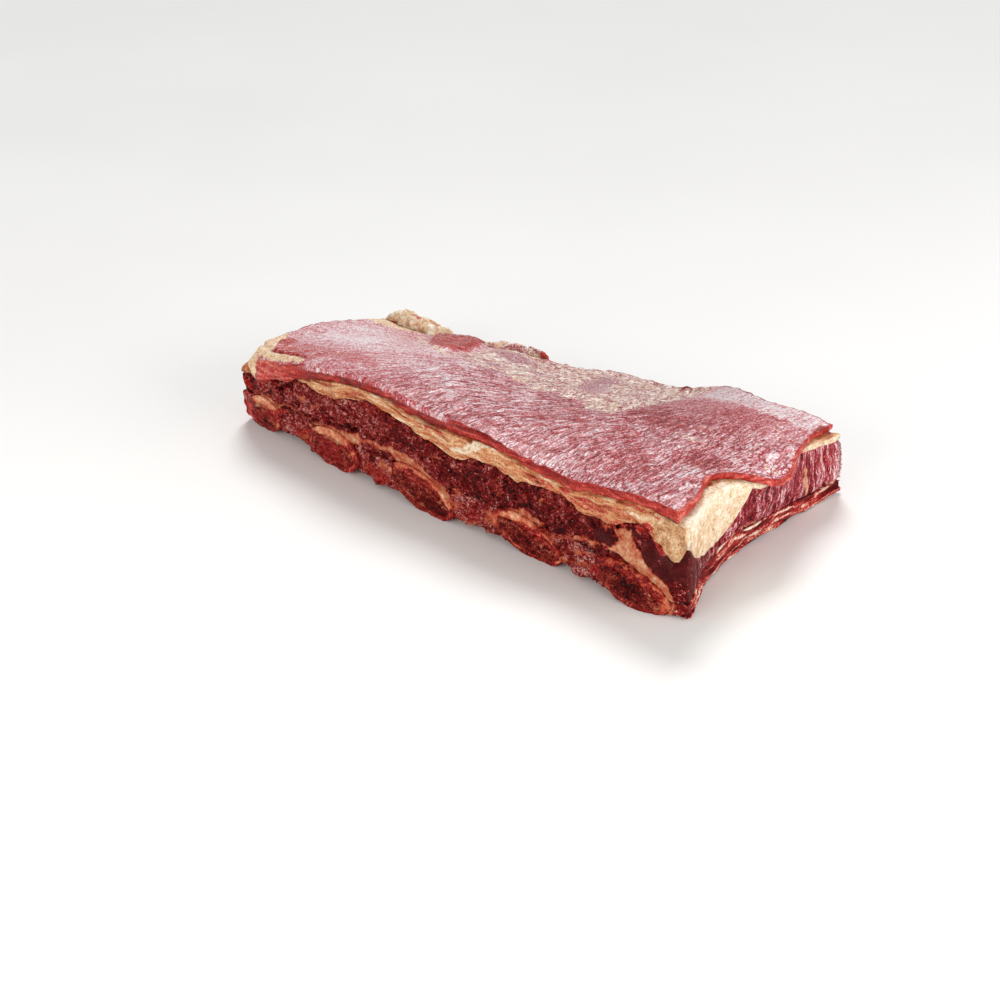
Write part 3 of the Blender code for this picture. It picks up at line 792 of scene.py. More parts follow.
@dataclass(frozen=True)
class FatFinish:
    """Cream fat in ropes and pebbles, with pink-red veins."""

    name: str = "fat"
    wet: Wet = Wet(coat=0.12, coat_roughness=0.16, depth=0.15, reach=(0.0030, 0.0018, 0.0012),
                   specular=0.15)
    ropes: Repeats = (38, 400, 320)
    strands: Repeats = (30, 420, 300)
    pebbles: float = 420.0
    grains: float = 1100.0
    curds: float = 190.0
    vein: Colour = (180, 78, 60)
    shadow: Colour = (58, 14, 12)
    relief: float = 0.0018

    def material(self) -> bpy.types.Material:
        """Wires the finish.

        Reads the attributes fibre, rope, pale, tone, raw and gap.
        """
        net = Wiring(self.name)
        fibre = net.warp(net.field("fibre"), 70.0, 0.004)
        rope = net.drawn(fibre, self.ropes, 3.0, 0.62, 0.3)
        strand = net.drawn(fibre, self.strands, 3.0, 0.6)
        pebble = net.noise(net.place, self.pebbles, 4.0, 0.62)
        grain = net.noise(net.place, self.grains, 2.0, 0.6)
        colour = net.tint(Palette.CREAM, net.mark("rope"), (rope, 1.1), (pebble, 0.6), (grain, 0.7))
        between = net.times(net.seams(strand, 0.018), net.step(pebble, 0.38, 0.55))
        colour = net.over(colour, self.vein, net.times(between, 0.22))
        curd = net.noise(net.place, self.curds, 3.0, 0.6, 0.6)
        kernel = net.tint(Palette.KERNEL, net.mark("tone"), (pebble, 0.55), (curd, 0.7), (grain, 0.7))
        colour = net.over(colour, kernel, net.ragged(net.mark("pale"), pebble, 0.8))
        flesh = net.tint(Palette.RAW, 0.5, (pebble, 0.8), (grain, 0.8))
        colour = net.over(colour, flesh, net.ragged(net.mark("raw"), pebble, 1.8))
        # Painted shade in the recessed partings.
        colour = net.over(colour, self.shadow, net.times(net.mark("gap"), 0.9))
        height = net.around(0.5, (rope, 0.7), (pebble, 0.4), (grain, 0.3))
        return net.close(colour, net.around(0.38, (pebble, 0.8)), net.bump(height, self.relief),
                         self.wet)


@dataclass(frozen=True)
class MeatFinish:
    """Dark muscle: coarse wet grain where it is cut across, and fine lines where it is cut along."""

    name: str
    wet: Wet = Wet(coat=0.07, coat_roughness=0.08, depth=0.05, specular=0.06)
    dashes: Repeats = (230, 400, 640)
    lines: Repeats = (60, 430, 300)
    threads: Repeats = (230, 1500, 900)
    lumps: float = 150.0
    clumps: float = 420.0
    grains: float = 1000.0
    bundles: float = 270.0
    painted_flecks: float = 720.0
    painted_fleck_share: float = 0.76
    painted_fleck_colour: Colour = (250, 208, 200)
    dull_painted_fleck: Colour = (220, 150, 150)
    shadow: Colour = (34, 0, 2)
    relief: float = 0.0022

    def material(self) -> bpy.types.Material:
        """Wires the finish.

        Reads the attributes fibre, tone, fascia, raw, smooth, gap and lengthwise.
        """
        net = Wiring(self.name)
        fibre, tone = net.field("fibre"), net.mark("tone")
        lump = net.noise(net.place, self.lumps, 3.0, 0.6)
        clump = net.noise(net.place, self.clumps, 4.0, 0.65)
        dash = net.drawn(net.place, self.dashes, 4.0, 0.75, 0.4)
        grain = net.noise(net.place, self.grains, 3.0, 0.78)
        bundle = net.cells(net.warp(net.place, 260.0, 0.0035), self.bundles, "DISTANCE_TO_EDGE")
        parting = net.minus(1.0, net.step(bundle.outputs["Distance"], 0.0, 0.10))
        cut = net.tint(Palette.DARK, tone, (grain, 1.5), (dash, 0.9), (clump, 0.8), (lump, 1.1))
        cut = net.over(cut, self.shadow, net.times(parting, net.step(lump, 0.46, 0.62)))
        # Painted highlights: pale spots for the shine of wet meat.
        painted_fleck = net.times(net.painted_glints(self.painted_flecks, self.painted_fleck_share), net.step(clump, 0.40, 0.60))
        cut = net.over(cut, self.painted_fleck_colour, net.times(painted_fleck, 0.9))
        line = net.drawn(fibre, self.lines, 4.0, 0.65, 0.3)
        thread = net.drawn(fibre, self.threads, 3.0, 0.6)
        lined = net.tint(Palette.FIBRE, tone, (line, 1.5), (thread, 0.9), (grain, 1.2))
        lengthwise = net.mark("lengthwise")
        colour = net.over(cut, lined, net.step(lengthwise, 0.3, 0.7))
        satin = net.tint(Palette.SATIN, 0.46, (grain, 0.6), (clump, 0.5), (lump, 0.5))
        # Duller painted highlights on the smooth meat.
        satin = net.over(satin, self.dull_painted_fleck, net.times(painted_fleck, 0.5))
        colour = net.over(colour, satin, net.ragged(net.mark("smooth"), clump, 0.8))
        colour = net.sawn(colour, clump, grain, net.plus(net.times(lengthwise, 0.14), 0.22))
        height = net.around(0.5, (grain, 0.55), (clump, 0.6), (parting, -0.12), (line, 0.25))
        return net.close(colour, net.around(0.40, (grain, 0.9)), net.bump(height, self.relief),
                         self.wet)


@dataclass(frozen=True)
class BoneFinish:
    """A rib's wall: glossy cream skin tinged with pink, stained red at the saw cut."""

    name: str = "bone"
    wet: Wet = Wet(coat=0.09, coat_roughness=0.12, depth=0.10, reach=(0.0030, 0.0016, 0.0010),
                   specular=0.08)
    clouds: Repeats = (90, 60, 160)
    clumps: float = 420.0
    grains: float = 900.0
    relief: float = 0.0012

    def material(self) -> bpy.types.Material:
        """Wires the finish.

        Reads the attributes cut, bare, fascia, raw and gap.
        """
        net = Wiring(self.name)
        cloud = net.drawn(net.place, self.clouds, 4.0, 0.6)
        clump = net.noise(net.place, self.clumps, 4.0, 0.62)
        grain = net.noise(net.place, self.grains, 3.0, 0.65)
        level = net.plus(net.times(net.mark("bare"), 0.12), 0.54)
        colour = net.tint(Palette.FASCIA, level, (cloud, 0.6), (clump, 0.6), (grain, 0.4))
        blood = net.tint(Palette.MARROW, 0.48, (clump, 1.0), (grain, 1.1))
        colour = net.sawn(net.over(colour, blood, net.mark("cut")), clump, grain)
        height = net.around(0.5, (clump, 0.6), (grain, 0.4))
        return net.close(colour, net.around(0.36, (grain, 0.8)), net.bump(height, self.relief),
                         self.wet)


@dataclass(frozen=True)
class MarrowFinish:
    """Spongy red marrow: dark pits in a mesh of pale bone threads."""

    name: str = "marrow"
    wet: Wet = Wet(coat=0.09, coat_roughness=0.10, depth=0.05, specular=0.07)
    clumps: Repeats = (200, 200, 420)
    grains: float = 850.0
    pits: float = 620.0
    relief: float = 0.0020

    def material(self) -> bpy.types.Material:
        """Wires the finish.

        Reads the attributes core, fascia, raw and gap.
        """
        net = Wiring(self.name)
        grain = net.noise(net.place, self.grains, 3.0, 0.75)
        clump = net.drawn(net.place, self.clumps, 3.0, 0.6)
        mesh = net.cells(net.warp(net.place, 500.0, 0.002), self.pits, "DISTANCE_TO_EDGE")
        wall = net.minus(1.0, net.step(mesh.outputs["Distance"], 0.02, 0.20))
        level = net.plus(net.around(0.48, (grain, 1.5), (clump, 1.1)), net.times(wall, 0.10))
        level = net.minus(level, net.times(net.mark("core"), 0.20))
        colour = net.sawn(net.ramp(level, Palette.MARROW), clump, grain)
        return net.close(colour, net.around(0.42, (grain, 0.9)), net.bump(level, self.relief), self.wet)


@dataclass(frozen=True)
class MembraneFinish:
    """Thin layers of membrane and meat: cream and pink strips with red between them."""

    name: str = "membrane"
    wet: Wet = Wet(coat=0.10, coat_roughness=0.12, depth=0.08, specular=0.10)
    strips: Repeats = (26, 460, 300)
    clumps: float = 420.0
    grains: float = 950.0
    relief: float = 0.0020

    def material(self) -> bpy.types.Material:
        """Wires the finish.

        Reads the attributes fibre, sheet, smooth, fascia, raw and gap.
        """
        net = Wiring(self.name)
        fibre = net.warp(net.field("fibre"), 60.0, 0.004)
        strip = net.drawn(fibre, self.strips, 3.0, 0.6, 0.3)
        clump = net.noise(net.place, self.clumps, 4.0, 0.65)
        grain = net.noise(net.place, self.grains, 3.0, 0.7)
        colour = net.tint(Palette.SHEETS, net.mark("sheet"), (strip, 2.1), (clump, 0.6), (grain, 0.8))
        satin = net.tint(Palette.SATIN, 0.48, (clump, 0.6), (grain, 0.4))
        colour = net.sawn(net.over(colour, satin, net.mark("smooth")), clump, grain)
        height = net.around(0.5, (strip, 0.9), (clump, 0.4), (grain, 0.3))
        return net.close(colour, net.around(0.36, (grain, 0.8)), net.bump(height, self.relief),
                         self.wet)


class Finishes:
    """One material for each of the record's slots, made once."""

    def __init__(self) -> None:
        """Wires every finish."""
        self.flap = FlapFinish().material()
        self.fat = FatFinish().material()
        self.meat = MeatFinish("dark_meat").material()
        self.bone = BoneFinish().material()
        self.marrow = MarrowFinish().material()
        self.between = MeatFinish("between_meat").material()
        self.membrane = MembraneFinish().material()


# ---- Fine meshes -------------------------------------------------------------
class Flesh:
    """A fine mesh whose points, relief and marks are worked out as arrays."""

    def __init__(self, name: str, bm: bmesh.types.BMesh) -> None:
        """Turns a bmesh into the piece's mesh and reads its points."""
        self.name = name
        self.mesh = bpy.data.meshes.new(name)
        bm.to_mesh(self.mesh)
        bm.free()
        self.points = np.empty(len(self.mesh.vertices) * 3)
        self.mesh.vertices.foreach_get("co", self.points)
        self.points = self.points.reshape(-1, 3)
        self.unit = self.points.T.copy()

    def put(self, x: Array, y: Array, z: Array) -> None:
        """Moves the points, in the working frame."""
        self.points = np.stack([x, y, z], axis=1)
        self.store()

    def store(self) -> None:
        """Writes the points to the mesh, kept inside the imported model's box."""
        low, high = np.array(CAD_BOX[0]), np.array(CAD_BOX[1])
        kept = np.clip(self.points + SHIFT, low, high)
        self.points = kept - SHIFT
        self.mesh.vertices.foreach_set("co", kept.ravel())
        self.mesh.update()

    def normals(self) -> Array:
        """The points' normals."""
        found = np.empty(len(self.mesh.vertices) * 3, np.float32)
        self.mesh.vertex_normals.foreach_get("vector", found)
        return found.reshape(-1, 3).astype(float)

    def push(self, amount: Array) -> None:
        """Moves each point along its normal."""
        self.points = self.points + self.normals() * np.asarray(amount)[:, None]
        self.store()

    def write(self, name: str, values: Array) -> None:
        """Stores an attribute for the finish to read: one value or one vector for each point."""
        kind, key = ("FLOAT", "value") if values.ndim == 1 else ("FLOAT_VECTOR", "vector")
        made = self.mesh.attributes.new(name, kind, "POINT")
        made.data.foreach_set(key, np.ascontiguousarray(values, np.float32).ravel())

    def write_all(self, **marks: Array) -> None:
        """Stores several attributes, each under its own name."""
        for name, values in marks.items():
            self.write(name, values)

    def lumps(self, size: Size, seed: int, layers: int = 3) -> Array:
        """Lumpy noise at the points, between about -1 and 1."""
        return crumbs(self.points, size, seed, layers)

    def finish(self, material: bpy.types.Material, slot: str, nodes: Sequence[str]) -> bpy.types.Object:
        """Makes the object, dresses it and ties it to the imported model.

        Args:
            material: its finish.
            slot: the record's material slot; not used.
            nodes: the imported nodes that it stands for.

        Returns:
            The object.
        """
        self.mesh.shade_smooth()
        self.mesh.materials.append(material)
        made = bpy.data.objects.new(self.name, self.mesh)
        bpy.context.scene.collection.objects.link(made)
        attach(made, "root")
        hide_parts(*nodes)
        log.info("%s: %d points", self.name, len(self.mesh.vertices))
        return made


def unit_block(cuts: Sequence[int]) -> bmesh.types.BMesh:
    """A bmesh of the unit cube from 0 to 1, divided into cuts[k] parts along each axis."""
    bm = bmesh.new()
    bmesh.ops.create_cube(bm, size=1.0, matrix=Matrix.Translation((0.5, 0.5, 0.5)))
    for axis, parts in enumerate(cuts):
        edges = [e for e in bm.edges if abs(e.verts[0].co[axis] - e.verts[1].co[axis]) > 0.5]
        bmesh.ops.subdivide_edges(bm, edges=edges, cuts=parts - 1, use_grid_fill=True)
    return bm


@dataclass
class Layer:
    """A block bent to lie between two height functions and inside four edge functions."""

    name: str
    cuts: Cuts
    edges: tuple[Edge, Edge, Edge, Edge]
    low: Edge
    high: Edge
    rim: float
    crowding: Pair = (0.0, 0.0)

    def build(self) -> tuple[Flesh, Array, Array, Array]:
        """Makes the fine mesh.

        Returns:
            The flesh, and the shares u, v and w of each point along, back and up.
        """
        flesh = Flesh(self.name, unit_block(self.cuts))
        u, v, w = flesh.unit
        left, right, front, back = self.edges
        near_u = mix(u, 1.0 - (1.0 - u) ** 2, self.crowding[0])
        near_v = mix(v, v**2, self.crowding[1])
        inset = self.rim * (1.0 - np.sqrt(np.clip(1.0 - (2.0 * w - 1.0) ** 2, 0, 1)))
        x = near_u * SlabForm.LENGTH
        y = near_v * along(SlabForm.BACK_Y, x)
        for _ in range(BENDS):
            z = mix(self.low(x, y), self.high(x, y), w)
            x = mix(left(y, z) + inset, right(y, z) - inset, near_u)
            y = mix(front(x, z) + inset, back(x, z) - inset, near_v)
        flesh.put(x, y, mix(self.low(x, y), self.high(x, y), w))
        return flesh, u, v, w


# ---- What shows on the faces -------------------------------------------------
@dataclass(frozen=True)
class Face:
    """The marks on one side of the slab, which run across all the pieces that meet there."""

    fascia: Marks
    raw: Marks
    gap: Marks
    smooth: Marks

    NAMES: ClassVar[tuple[str, ...]] = ("fascia", "raw", "gap", "smooth")
    # The gaps lie back in the face and are also painted dark as shade.
    RELIEF: ClassVar[tuple[float, ...]] = (0.0003, -0.0002, -0.0060, 0.0009)

    def masks(self, points: Array, a: Array, b: Array, on_face: Array) -> dict[str, Array]:
        """The marks at each point.

        Args:
            points: the points, one row each.
            a: their first coordinate on the face.
            b: their second coordinate on the face.
            on_face: 1 for points on the face and 0 for others.

        Returns:
            A value from 0 to 1 for each kind of mark and each point.
        """
        a, b = Rough().moved(points, a, b)
        return {name: on_face * marked(getattr(self, name), a, b) for name in self.NAMES}


SAWN_FACE = Face(
    fascia=(
        Area(((12, 24), (20, 23.5), (35, 24.5), (50, 22), (38, 18), (28, 15.5), (18, 14.5), (12, 18))),
        Stroke(((45, 24), (56, 25), (66, 23.5), (75, 22.5)), 1.3, 1.2, 0.8),
        Area(((76, 20), (84, 23), (97, 26), (110, 25.5), (122, 27.5), (130, 29), (134, 27), (128, 22),
              (118, 19), (112, 17.5), (100, 17), (90, 17.5), (82, 17), (76, 17.5))),
        Stroke(((128, 26), (140, 27), (150, 28.5), (163, 28.5), (178, 27.5), (190, 26.5), (200, 24)),
               2.0, 1.4),
        Area(((163, 27), (178, 28), (190, 28), (200, 25.5), (212, 21), (222, 12), (218, 8), (210, 14),
              (200, 18.5), (188, 21.5), (176, 22), (168, 20)), 1.5, 0.9),
        Stroke(((212, 21.5), (220, 21), (229, 20)), 1.5, 1.4, 0.65),
        Patch((157, 16), (8, 2.5), 0, 0.75),
        Stroke(((120, 12), (128, 17)), 1.3, 1.2, 0.7),
        Stroke(((112, 18), (116.5, 11), (117.5, 4)), 1.2, 1.2, 0.8),
        Stroke(((168, 14), (175, 9), (187, 5), (202, 1.5)), 0.9, 1.0, 0.75),
        Stroke(((346, 19), (349, 12), (352, 4)), 0.8, 1.0, 0.7),
        Patch((222, 12), (4, 3), 0, 0.75),
        Patch((252, 14), (7, 5), 0, 0.85),
        Stroke(((245, 4), (235, 5), (228, 6)), 1.2, 1.2, 0.7),
        Area(((256, 17), (262, 21), (270, 26), (278, 25.5), (288, 22.5), (294, 20), (286, 18),
              (272, 18.5), (262, 17.5))),
        Stroke(((288, 21), (298, 16.5), (306, 11)), 1.4, 1.2, 0.75),
        Stroke(((298, 16), (308, 20), (320, 24), (335, 27), (345, 29)), 1.6, 1.5, 0.8),
        Stroke(((306, 10), (318, 15), (330, 18), (342, 23)), 1.1, 1.1, 0.7),
        Stroke(((303, 3), (312, 8), (325, 9), (338, 13)), 1.5, 1.4, 0.75),
        Area(((345, 42.5), (352, 42), (362, 43), (366, 38), (371, 35), (373, 29), (377, 25),
              (386, 21.5),
              (392, 15), (393, 8), (388, 9), (384, 15), (376, 19), (366, 22), (356, 25.5), (348, 27),
              (346, 29), (352, 31.5), (353, 36), (349, 39))),
        Stroke(((345, 20), (356, 23), (370, 20), (382, 13)), 1.0, 1.0, 0.7),
        Patch((70, 36), (2.5, 4), 0, 0.6),
        Stroke(((78, 33.5), (84, 35), (90, 36.5)), 1.2, 1.2, 0.75),
        Stroke(((284, 31), (289, 35), (292, 39), (297, 43)), 1.5, 1.6, 0.62),
        Stroke(((198, 35.5), (203, 37), (209, 37.5)), 1.2, 1.4, 0.58),
        Patch((343, 40), (6, 2.5), 0, 0.6),
        Stroke(((256, 30), (262, 34)), 0.9, 1.0, 0.8),
        Stroke(((30, 11), (38, 8), (46, 5)), 1.3, 1.3, 0.75),
        Stroke(((62, 5), (72, 10), (80, 8)), 1.4, 1.3, 0.75),
        Patch((66, 7), (6, 4), 0, 0.55),
        Patch((36, 8), (6, 4), 0, 0.6),
        Stroke(((170, 10), (180, 7), (195, 3)), 1.0, 1.0, 0.7),
        Stroke(((255, 10), (265, 7), (280, 2)), 1.0, 1.0, 0.7),
        Stroke(((132, 6), (140, 9), (150, 11), (165, 13)), 1.2, 1.4, 0.6),
        Patch((388, 5), (7, 4), 30, 0.65),
    ),
    raw=(
        Patch((5, 40), (5, 5)),
        Patch((3, 24), (4, 6)),
        Patch((9, 9), (12, 6), 0, 0.95),
        Patch((34, 12), (8, 5), 0, 0.8),
        Patch((70, 9), (12, 6), 0, 0.75),
        Patch((100, 14), (15, 3.5), 0, 0.85),
        Patch((148, 9), (14, 6), 0, 0.65),
        Patch((238, 10), (10, 5), 0, 0.5),
        Stroke(((28, 14), (38, 17), (48, 20)), 2.2, 1.6, 0.9),
        Patch((115, 19), (4, 3), 0, 0.8),
        Patch((125, 15), (6, 4), 0, 0.6),
        Patch((102, 8), (16, 5), 0, 0.85),
        Patch((122, 6), (5, 5), 0, 0.8),
        Stroke(((260, 22), (260.5, 28)), 0.9, 1.0, 0.7),
        Stroke(((330, 8), (342, 12)), 1.8, 1.5, 0.85),
        Patch((370, 46), (4, 3)),
        Stroke(((376, 44), (390, 36)), 1.4, 1.2, 0.9),
        Stroke(((352, 44), (358, 43)), 0.9, 1.0, 0.8),
        Stroke(((364, 42), (360, 36)), 0.8, 1.0, 0.7),
        Patch((186, 17), (12, 2.5), -12, 0.6),
        Patch((285, 15), (14, 2.5), -12, 0.6),
        Patch((382, 18), (5, 2.5), -30, 0.6),
        Patch((140, 50), (14, 4), 0, 0.45),
        Patch((88, 44), (20, 3), 0, 0.35),
        Stroke(((20, 33), (28, 29)), 1.5, 1.5, 0.5),
    ),
    # Recessed gaps and the shade under overhangs, painted near-black as shade.
    gap=(
        Stroke(((30, 39.5), (40, 43), (52, 46.5), (63, 50)), 1.3, 1.2, 0.6),
        Area(((96, 26.8), (104, 27), (113, 28.5), (122, 29.5), (129, 30.3), (124, 32), (115, 31),
              (106, 28.6)), 1.0),
        Stroke(((40, 23), (52, 22.3), (60, 23.4), (75, 22)), 0.7, 0.9, 0.35),
        Patch((15, 36), (6, 2.5), 0, 0.4),
        Stroke(((60, 27.5), (75, 25), (88, 26)), 1.2, 1.2, 0.3),
        Stroke(((43, 16), (50, 18)), 0.9, 0.9, 0.5),
        Stroke(((2, 31), (8, 28)), 1.0, 1.0, 0.5),
        Stroke(((345, 26), (352, 25), (360, 24)), 0.5, 0.8, 0.2),
    ),
    smooth=(
        Area(((371, 38), (374, 41), (380, 42), (388, 40), (399, 44), (404, 24), (392, 21.5),
              (384, 22.5), (377, 27), (373, 32))),
        Patch((369, 43.3), (3.6, 3)),
        Area(((334, 36), (340, 37.8), (348, 37), (352, 34), (350, 31), (343, 29.5), (335, 30))),
    ),
)

RIGHT_END = Face(
    fascia=(
        Stroke(((50, 15), (58, 18), (65, 20)), 1.2, 1.2, 0.8),
        Stroke(((20, 14), (34, 17), (48, 17)), 0.9, 1.2, 0.6),
        Stroke(((136, 31), (138, 22), (142, 11)), 1.6, 1.2, 0.95, 0.3),
        Stroke(((138, 5), (155, 8), (172, 9)), 1.6, 1.4, 0.9, 0.3),
        Stroke(((70, 20), (80, 17), (90, 15), (100, 13), (120, 10), (140, 6)), 1.2, 1.3, 0.7, 0.2),
        Stroke(((66, 13), (84, 9), (108, 6)), 0.8, 1.2, 0.6),
        Stroke(((52, 9), (70, 5)), 0.8, 1.2, 0.6),
        Stroke(((112, 15), (116, 26)), 0.6, 0.9, 0.6),
        Stroke(((102, 17), (104, 27)), 0.5, 0.9, 0.5),
    ),
    raw=(
        Stroke(((88, 22), (89, 33)), 1.2, 1.2, 0.5),
        Patch((34, 28), (10, 8), 20, 0.35),
        Patch((160, 24), (10, 8), 0, 0.4),
        Stroke(((60, 17), (80, 13), (110, 9)), 0.9, 1.0, 0.6),
    ),
    # Recessed creases on the end, painted dark as shade.
    gap=(
        Stroke(((78, 44), (80, 32)), 1.2, 1.0, 0.35),
        Stroke(((86, 42), (86, 30)), 0.7, 0.9, 0.2),
        Stroke(((104, 38), (104, 26)), 0.6, 0.9, 0.2),
        Stroke(((60, 36), (62, 27)), 0.6, 0.9, 0.2),
        Stroke(((48, 12), (64, 16)), 0.6, 0.8, 0.2),
        Stroke(((143, 26), (145, 14)), 0.7, 0.9, 0.25),
    ),
    smooth=(),
)


def face_masks(flesh: Flesh, on_front: Array, on_end: Array) -> dict[str, Array]:
    """The marks of the sawn face and of the right end at each point of a piece."""
    x, y, z = flesh.points.T
    front = SAWN_FACE.masks(flesh.points, x, z, on_front)
    end = RIGHT_END.masks(flesh.points, y, z, on_end)
    return {name: np.maximum(front[name], end[name]) for name in Face.NAMES}


def kept_in(masks: dict[str, Array]) -> dict[str, Array]:
    """The marks, kept between 0 and 1."""
    return {name: np.clip(values, 0, 1) for name, values in masks.items()}


def relief(masks: dict[str, Array]) -> Array:
    """How far the marks stand out of a face or lie back in it."""
    return sum(height * masks[name] for name, height in zip(Face.NAMES, Face.RELIEF))


# ---- The pieces --------------------------------------------------------------
@dataclass
class TopFlap:
    """The thin muscle that covers the top, trimmed to a wavy edge at the right end."""

    cuts: Cuts = (300, 138, 8)
    ridge: float = 0.0004
    film_marks: Marks = (
        Area(((20, 34), (110, 40), (190, 20), (225, 30), (225, 72), (20, 100)), 14.0, 0.10),
        Area(((262, 150), (345, 150), (345, 125), (330, 100), (300, 88), (262, 80)), 10.0, -0.15),
        Patch((325, 135), (24, 20), 0, -0.05),
        Patch((290, 96), (22, 10), 0, -0.06),
        Area(((225, 45), (262, 45), (262, 80), (225, 80)), 8.0, -0.03),
        Area(((300, 10), (345, 10), (345, 35), (300, 35)), 8.0, -0.10),
        Area(((350, 10), (382, 10), (378, 50), (355, 50)), 8.0, 0.04),
        # Painted sheen: a pale band along the back right that stands for a reflection.
        Area(((268, 153), (360, 153), (356, 176), (268, 176)), 4.0, 0.20),
        # Painted highlight: lighter film where the wet surface shines.
        Area(((115, 24), (165, 24), (165, 50), (115, 50)), 8.0, 0.08),
        Patch((350, 65), (17, 12), 0, -0.15),
        Patch((292, 66), (9, 7), 0, -0.12),
        Patch((318, 45), (10, 16), 10, -0.12),
        Patch((342, 30), (8, 14), 0, -0.07),
        Patch((239, 43), (5, 6), 0, -0.12),
        Patch((167, 7), (9, 5), 0, -0.14),
        # Painted highlight: lighter film where the wet surface shines.
        Patch((277, 52), (9, 8), 0, 0.12),
        Patch((52, 57), (20, 13), 20, 0.08),
    )
    fat_marks: Marks = (
        Stroke(((12, 6), (20, 4), (40, 3.6), (55, 4.5), (66, 3)), 3.6, 1.0, 1.0, 0.35),
        Patch((12, 3), (9, 10)),
        Patch((52, 58), (20, 12), 20, 0.25),
        Area(((4, 100), (20, 104), (40, 110), (52, 122), (50, 130), (4, 130)), 5.0, 0.8),
        Stroke(((50, 112), (70, 99), (90, 90), (110, 82), (128, 77)), 2.6, 2.6, 0.62),
        Patch((178, 88), (5, 2.4), 30, 0.8),
        Patch((191, 130), (4, 6), 0, 0.8),
        Stroke(((214, 158), (240, 160), (264, 158)), 3.0, 2.0, 0.55),
        Patch((250, 92), (13, 8), 20, 0.45),
        Stroke(((318, 84), (323, 86), (327, 84)), 1.6, 2.2, 0.6),
        Stroke(((341, 137), (348, 135), (356, 129)), 1.4, 2.0, 0.55),
        Patch((380, 92), (6, 5), 0, 0.4),
        Stroke(((385, 124), (378, 133), (371, 143), (367, 152)), 2.2, 1.4, 0.95, 0.2),
    )
    raw_marks: Marks = (
        Area(((8, 13), (12, 24), (22, 29), (45, 28.5), (80, 27), (95, 31), (118, 30), (119, 22),
              (108, 12), (95, 11), (70, 8.5), (60, 10), (40, 9.5), (20, 10)), 3.5, 0.50),
        Stroke(((15, 9.5), (30, 10.5), (42, 12), (55, 9), (66, 7.5)), 1.9, 1.3, 1.0),
        Patch((22, 22), (9, 7), 0, 0.8),
        Patch((307, 96), (4.5, 4), 20, 0.85),
        Stroke(((320, 104), (326, 98)), 1.1, 1.0, 0.9),
        Patch((316, 103), (2.5, 2.5), 0, 0.8),
        Stroke(((382, 117), (376, 130), (368, 140), (362, 150), (355, 168)), 2.6, 1.6, 0.9, 0.1),
        Patch((250, 68), (6, 4), 20, 0.5),
        Patch((352, 62), (8, 6), 30, 0.45),
    )
    bulge: Area = Area(((52, 130), (60, 118), (80, 98), (96, 87), (110, 87), (112, 100), (104, 120),
                        (94, 132)), 4.0)
    bulge_height: float = 0.0044
    silver_marks: Marks = (
        Area(((188, 158), (202, 156), (212, 136), (218, 122), (212, 106), (200, 112), (192, 135)),
             7.0, 0.85),
        Patch((132, 127), (20, 9), 0, 0.85),
        Patch((144, 96), (9, 6), 0, 0.75),
        Patch((216, 114), (10, 8), 0, 0.9),
        Patch((168, 112), (12, 5), 30, 0.6),
        Patch((236, 132), (12, 6), 20, 0.55),
    )
    film_level: float = 0.575
    lip: Pair = (0.044, 0.022)
    lip_swell: float = 0.0032
    tip: Pair = (0.0255, 0.0085)
    tip_drop: float = 0.0042
    groove: Stroke = Stroke(((10, 9.5), (30, 10), (50, 10), (70, 7.5)), 1.6, 2.2, 1.0, 0.5)
    groove_depth: float = 0.0020
    rim: float = 0.0013
    hem_front: float = 0.0016
    hem_right: float = 0.0020
    near_front: float = 0.2
    lip_end: float = 0.08
    side_relief: float = 0.0008
    right_calm: float = 0.0005

    @staticmethod
    def left(y: Array, z: Array) -> Array:
        """Its left edge."""
        return along(SlabForm.FLAP_LEFT, y) + 0.0012 * wobble(y, z, 0.030, 21)

    @staticmethod
    def right(y: Array, z: Array) -> Array:
        """Its wavy right edge."""
        return along(SlabForm.FLAP_RIGHT, y) + 0.0006 * wobble(y, z, 0.011, 22)

    @staticmethod
    def front(x: Array, z: Array) -> Array:
        """Its edge along the sawn face."""
        return SlabForm.FACE_TOP_Y + 0.0008 * wobble(x, z, 0.030, 23) + 0.0005 * wobble(x, z, 0.009, 24)

    @staticmethod
    def back(x: Array, z: Array) -> Array:
        """Its back edge, set back where lumps stand behind it."""
        back = SlabForm.back_y(x, z) - along(SlabForm.FLAP_SET_BACK, x)
        return back + 0.0006 * wobble(x, z, 0.008, 25)

    def fold(self, flesh: Flesh, v: Array, w: Array) -> None:
        """Swells the front edge at the left end into a lip that hangs at its tip."""
        x, y, z = flesh.points.T
        near = 1.0 - ease(v / 0.07)
        swell = np.exp(-(np.abs((x - self.lip[0]) / self.lip[1]) ** 3))
        y = y - self.lip_swell * near * swell * np.sin(math.pi * np.clip(w, 0.02, 0.9)) ** 0.6
        z = z - self.tip_drop * near * (1 - w) * np.exp(-(((x - self.tip[0]) / self.tip[1]) ** 2))
        z = z - 0.0010 * near * (1 - w) * (1 + wobble(x, y, 0.016, 27)) * swell
        flesh.put(x, y, z)

    @staticmethod
    def scraps(flesh: Flesh, a: Array, b: Array) -> Array:
        """Where scraps of fat and membrane cover the film; a and b are x and y, unevenly shifted."""
        x, y, _ = flesh.points.T
        behind = ease((b - 0.080 + 0.007 * wobble(x, y, 0.03, 77)) / 0.010)
        return behind * ease((a - 0.106 - 0.10 * (0.13 - y)) / 0.012) * (1 - ease((a - 0.260) / 0.008))

    @staticmethod
    def corner(flesh: Flesh) -> Array:
        """The fat on the front left corner."""
        x, y, _ = flesh.points.T
        inside = 1 - ease((x - 0.019 - 0.004 * flesh.lumps(0.006, 59)) / 0.004)
        return (x < 0.04) * (inside * (1 - ease((y - 0.024) / 0.012)))

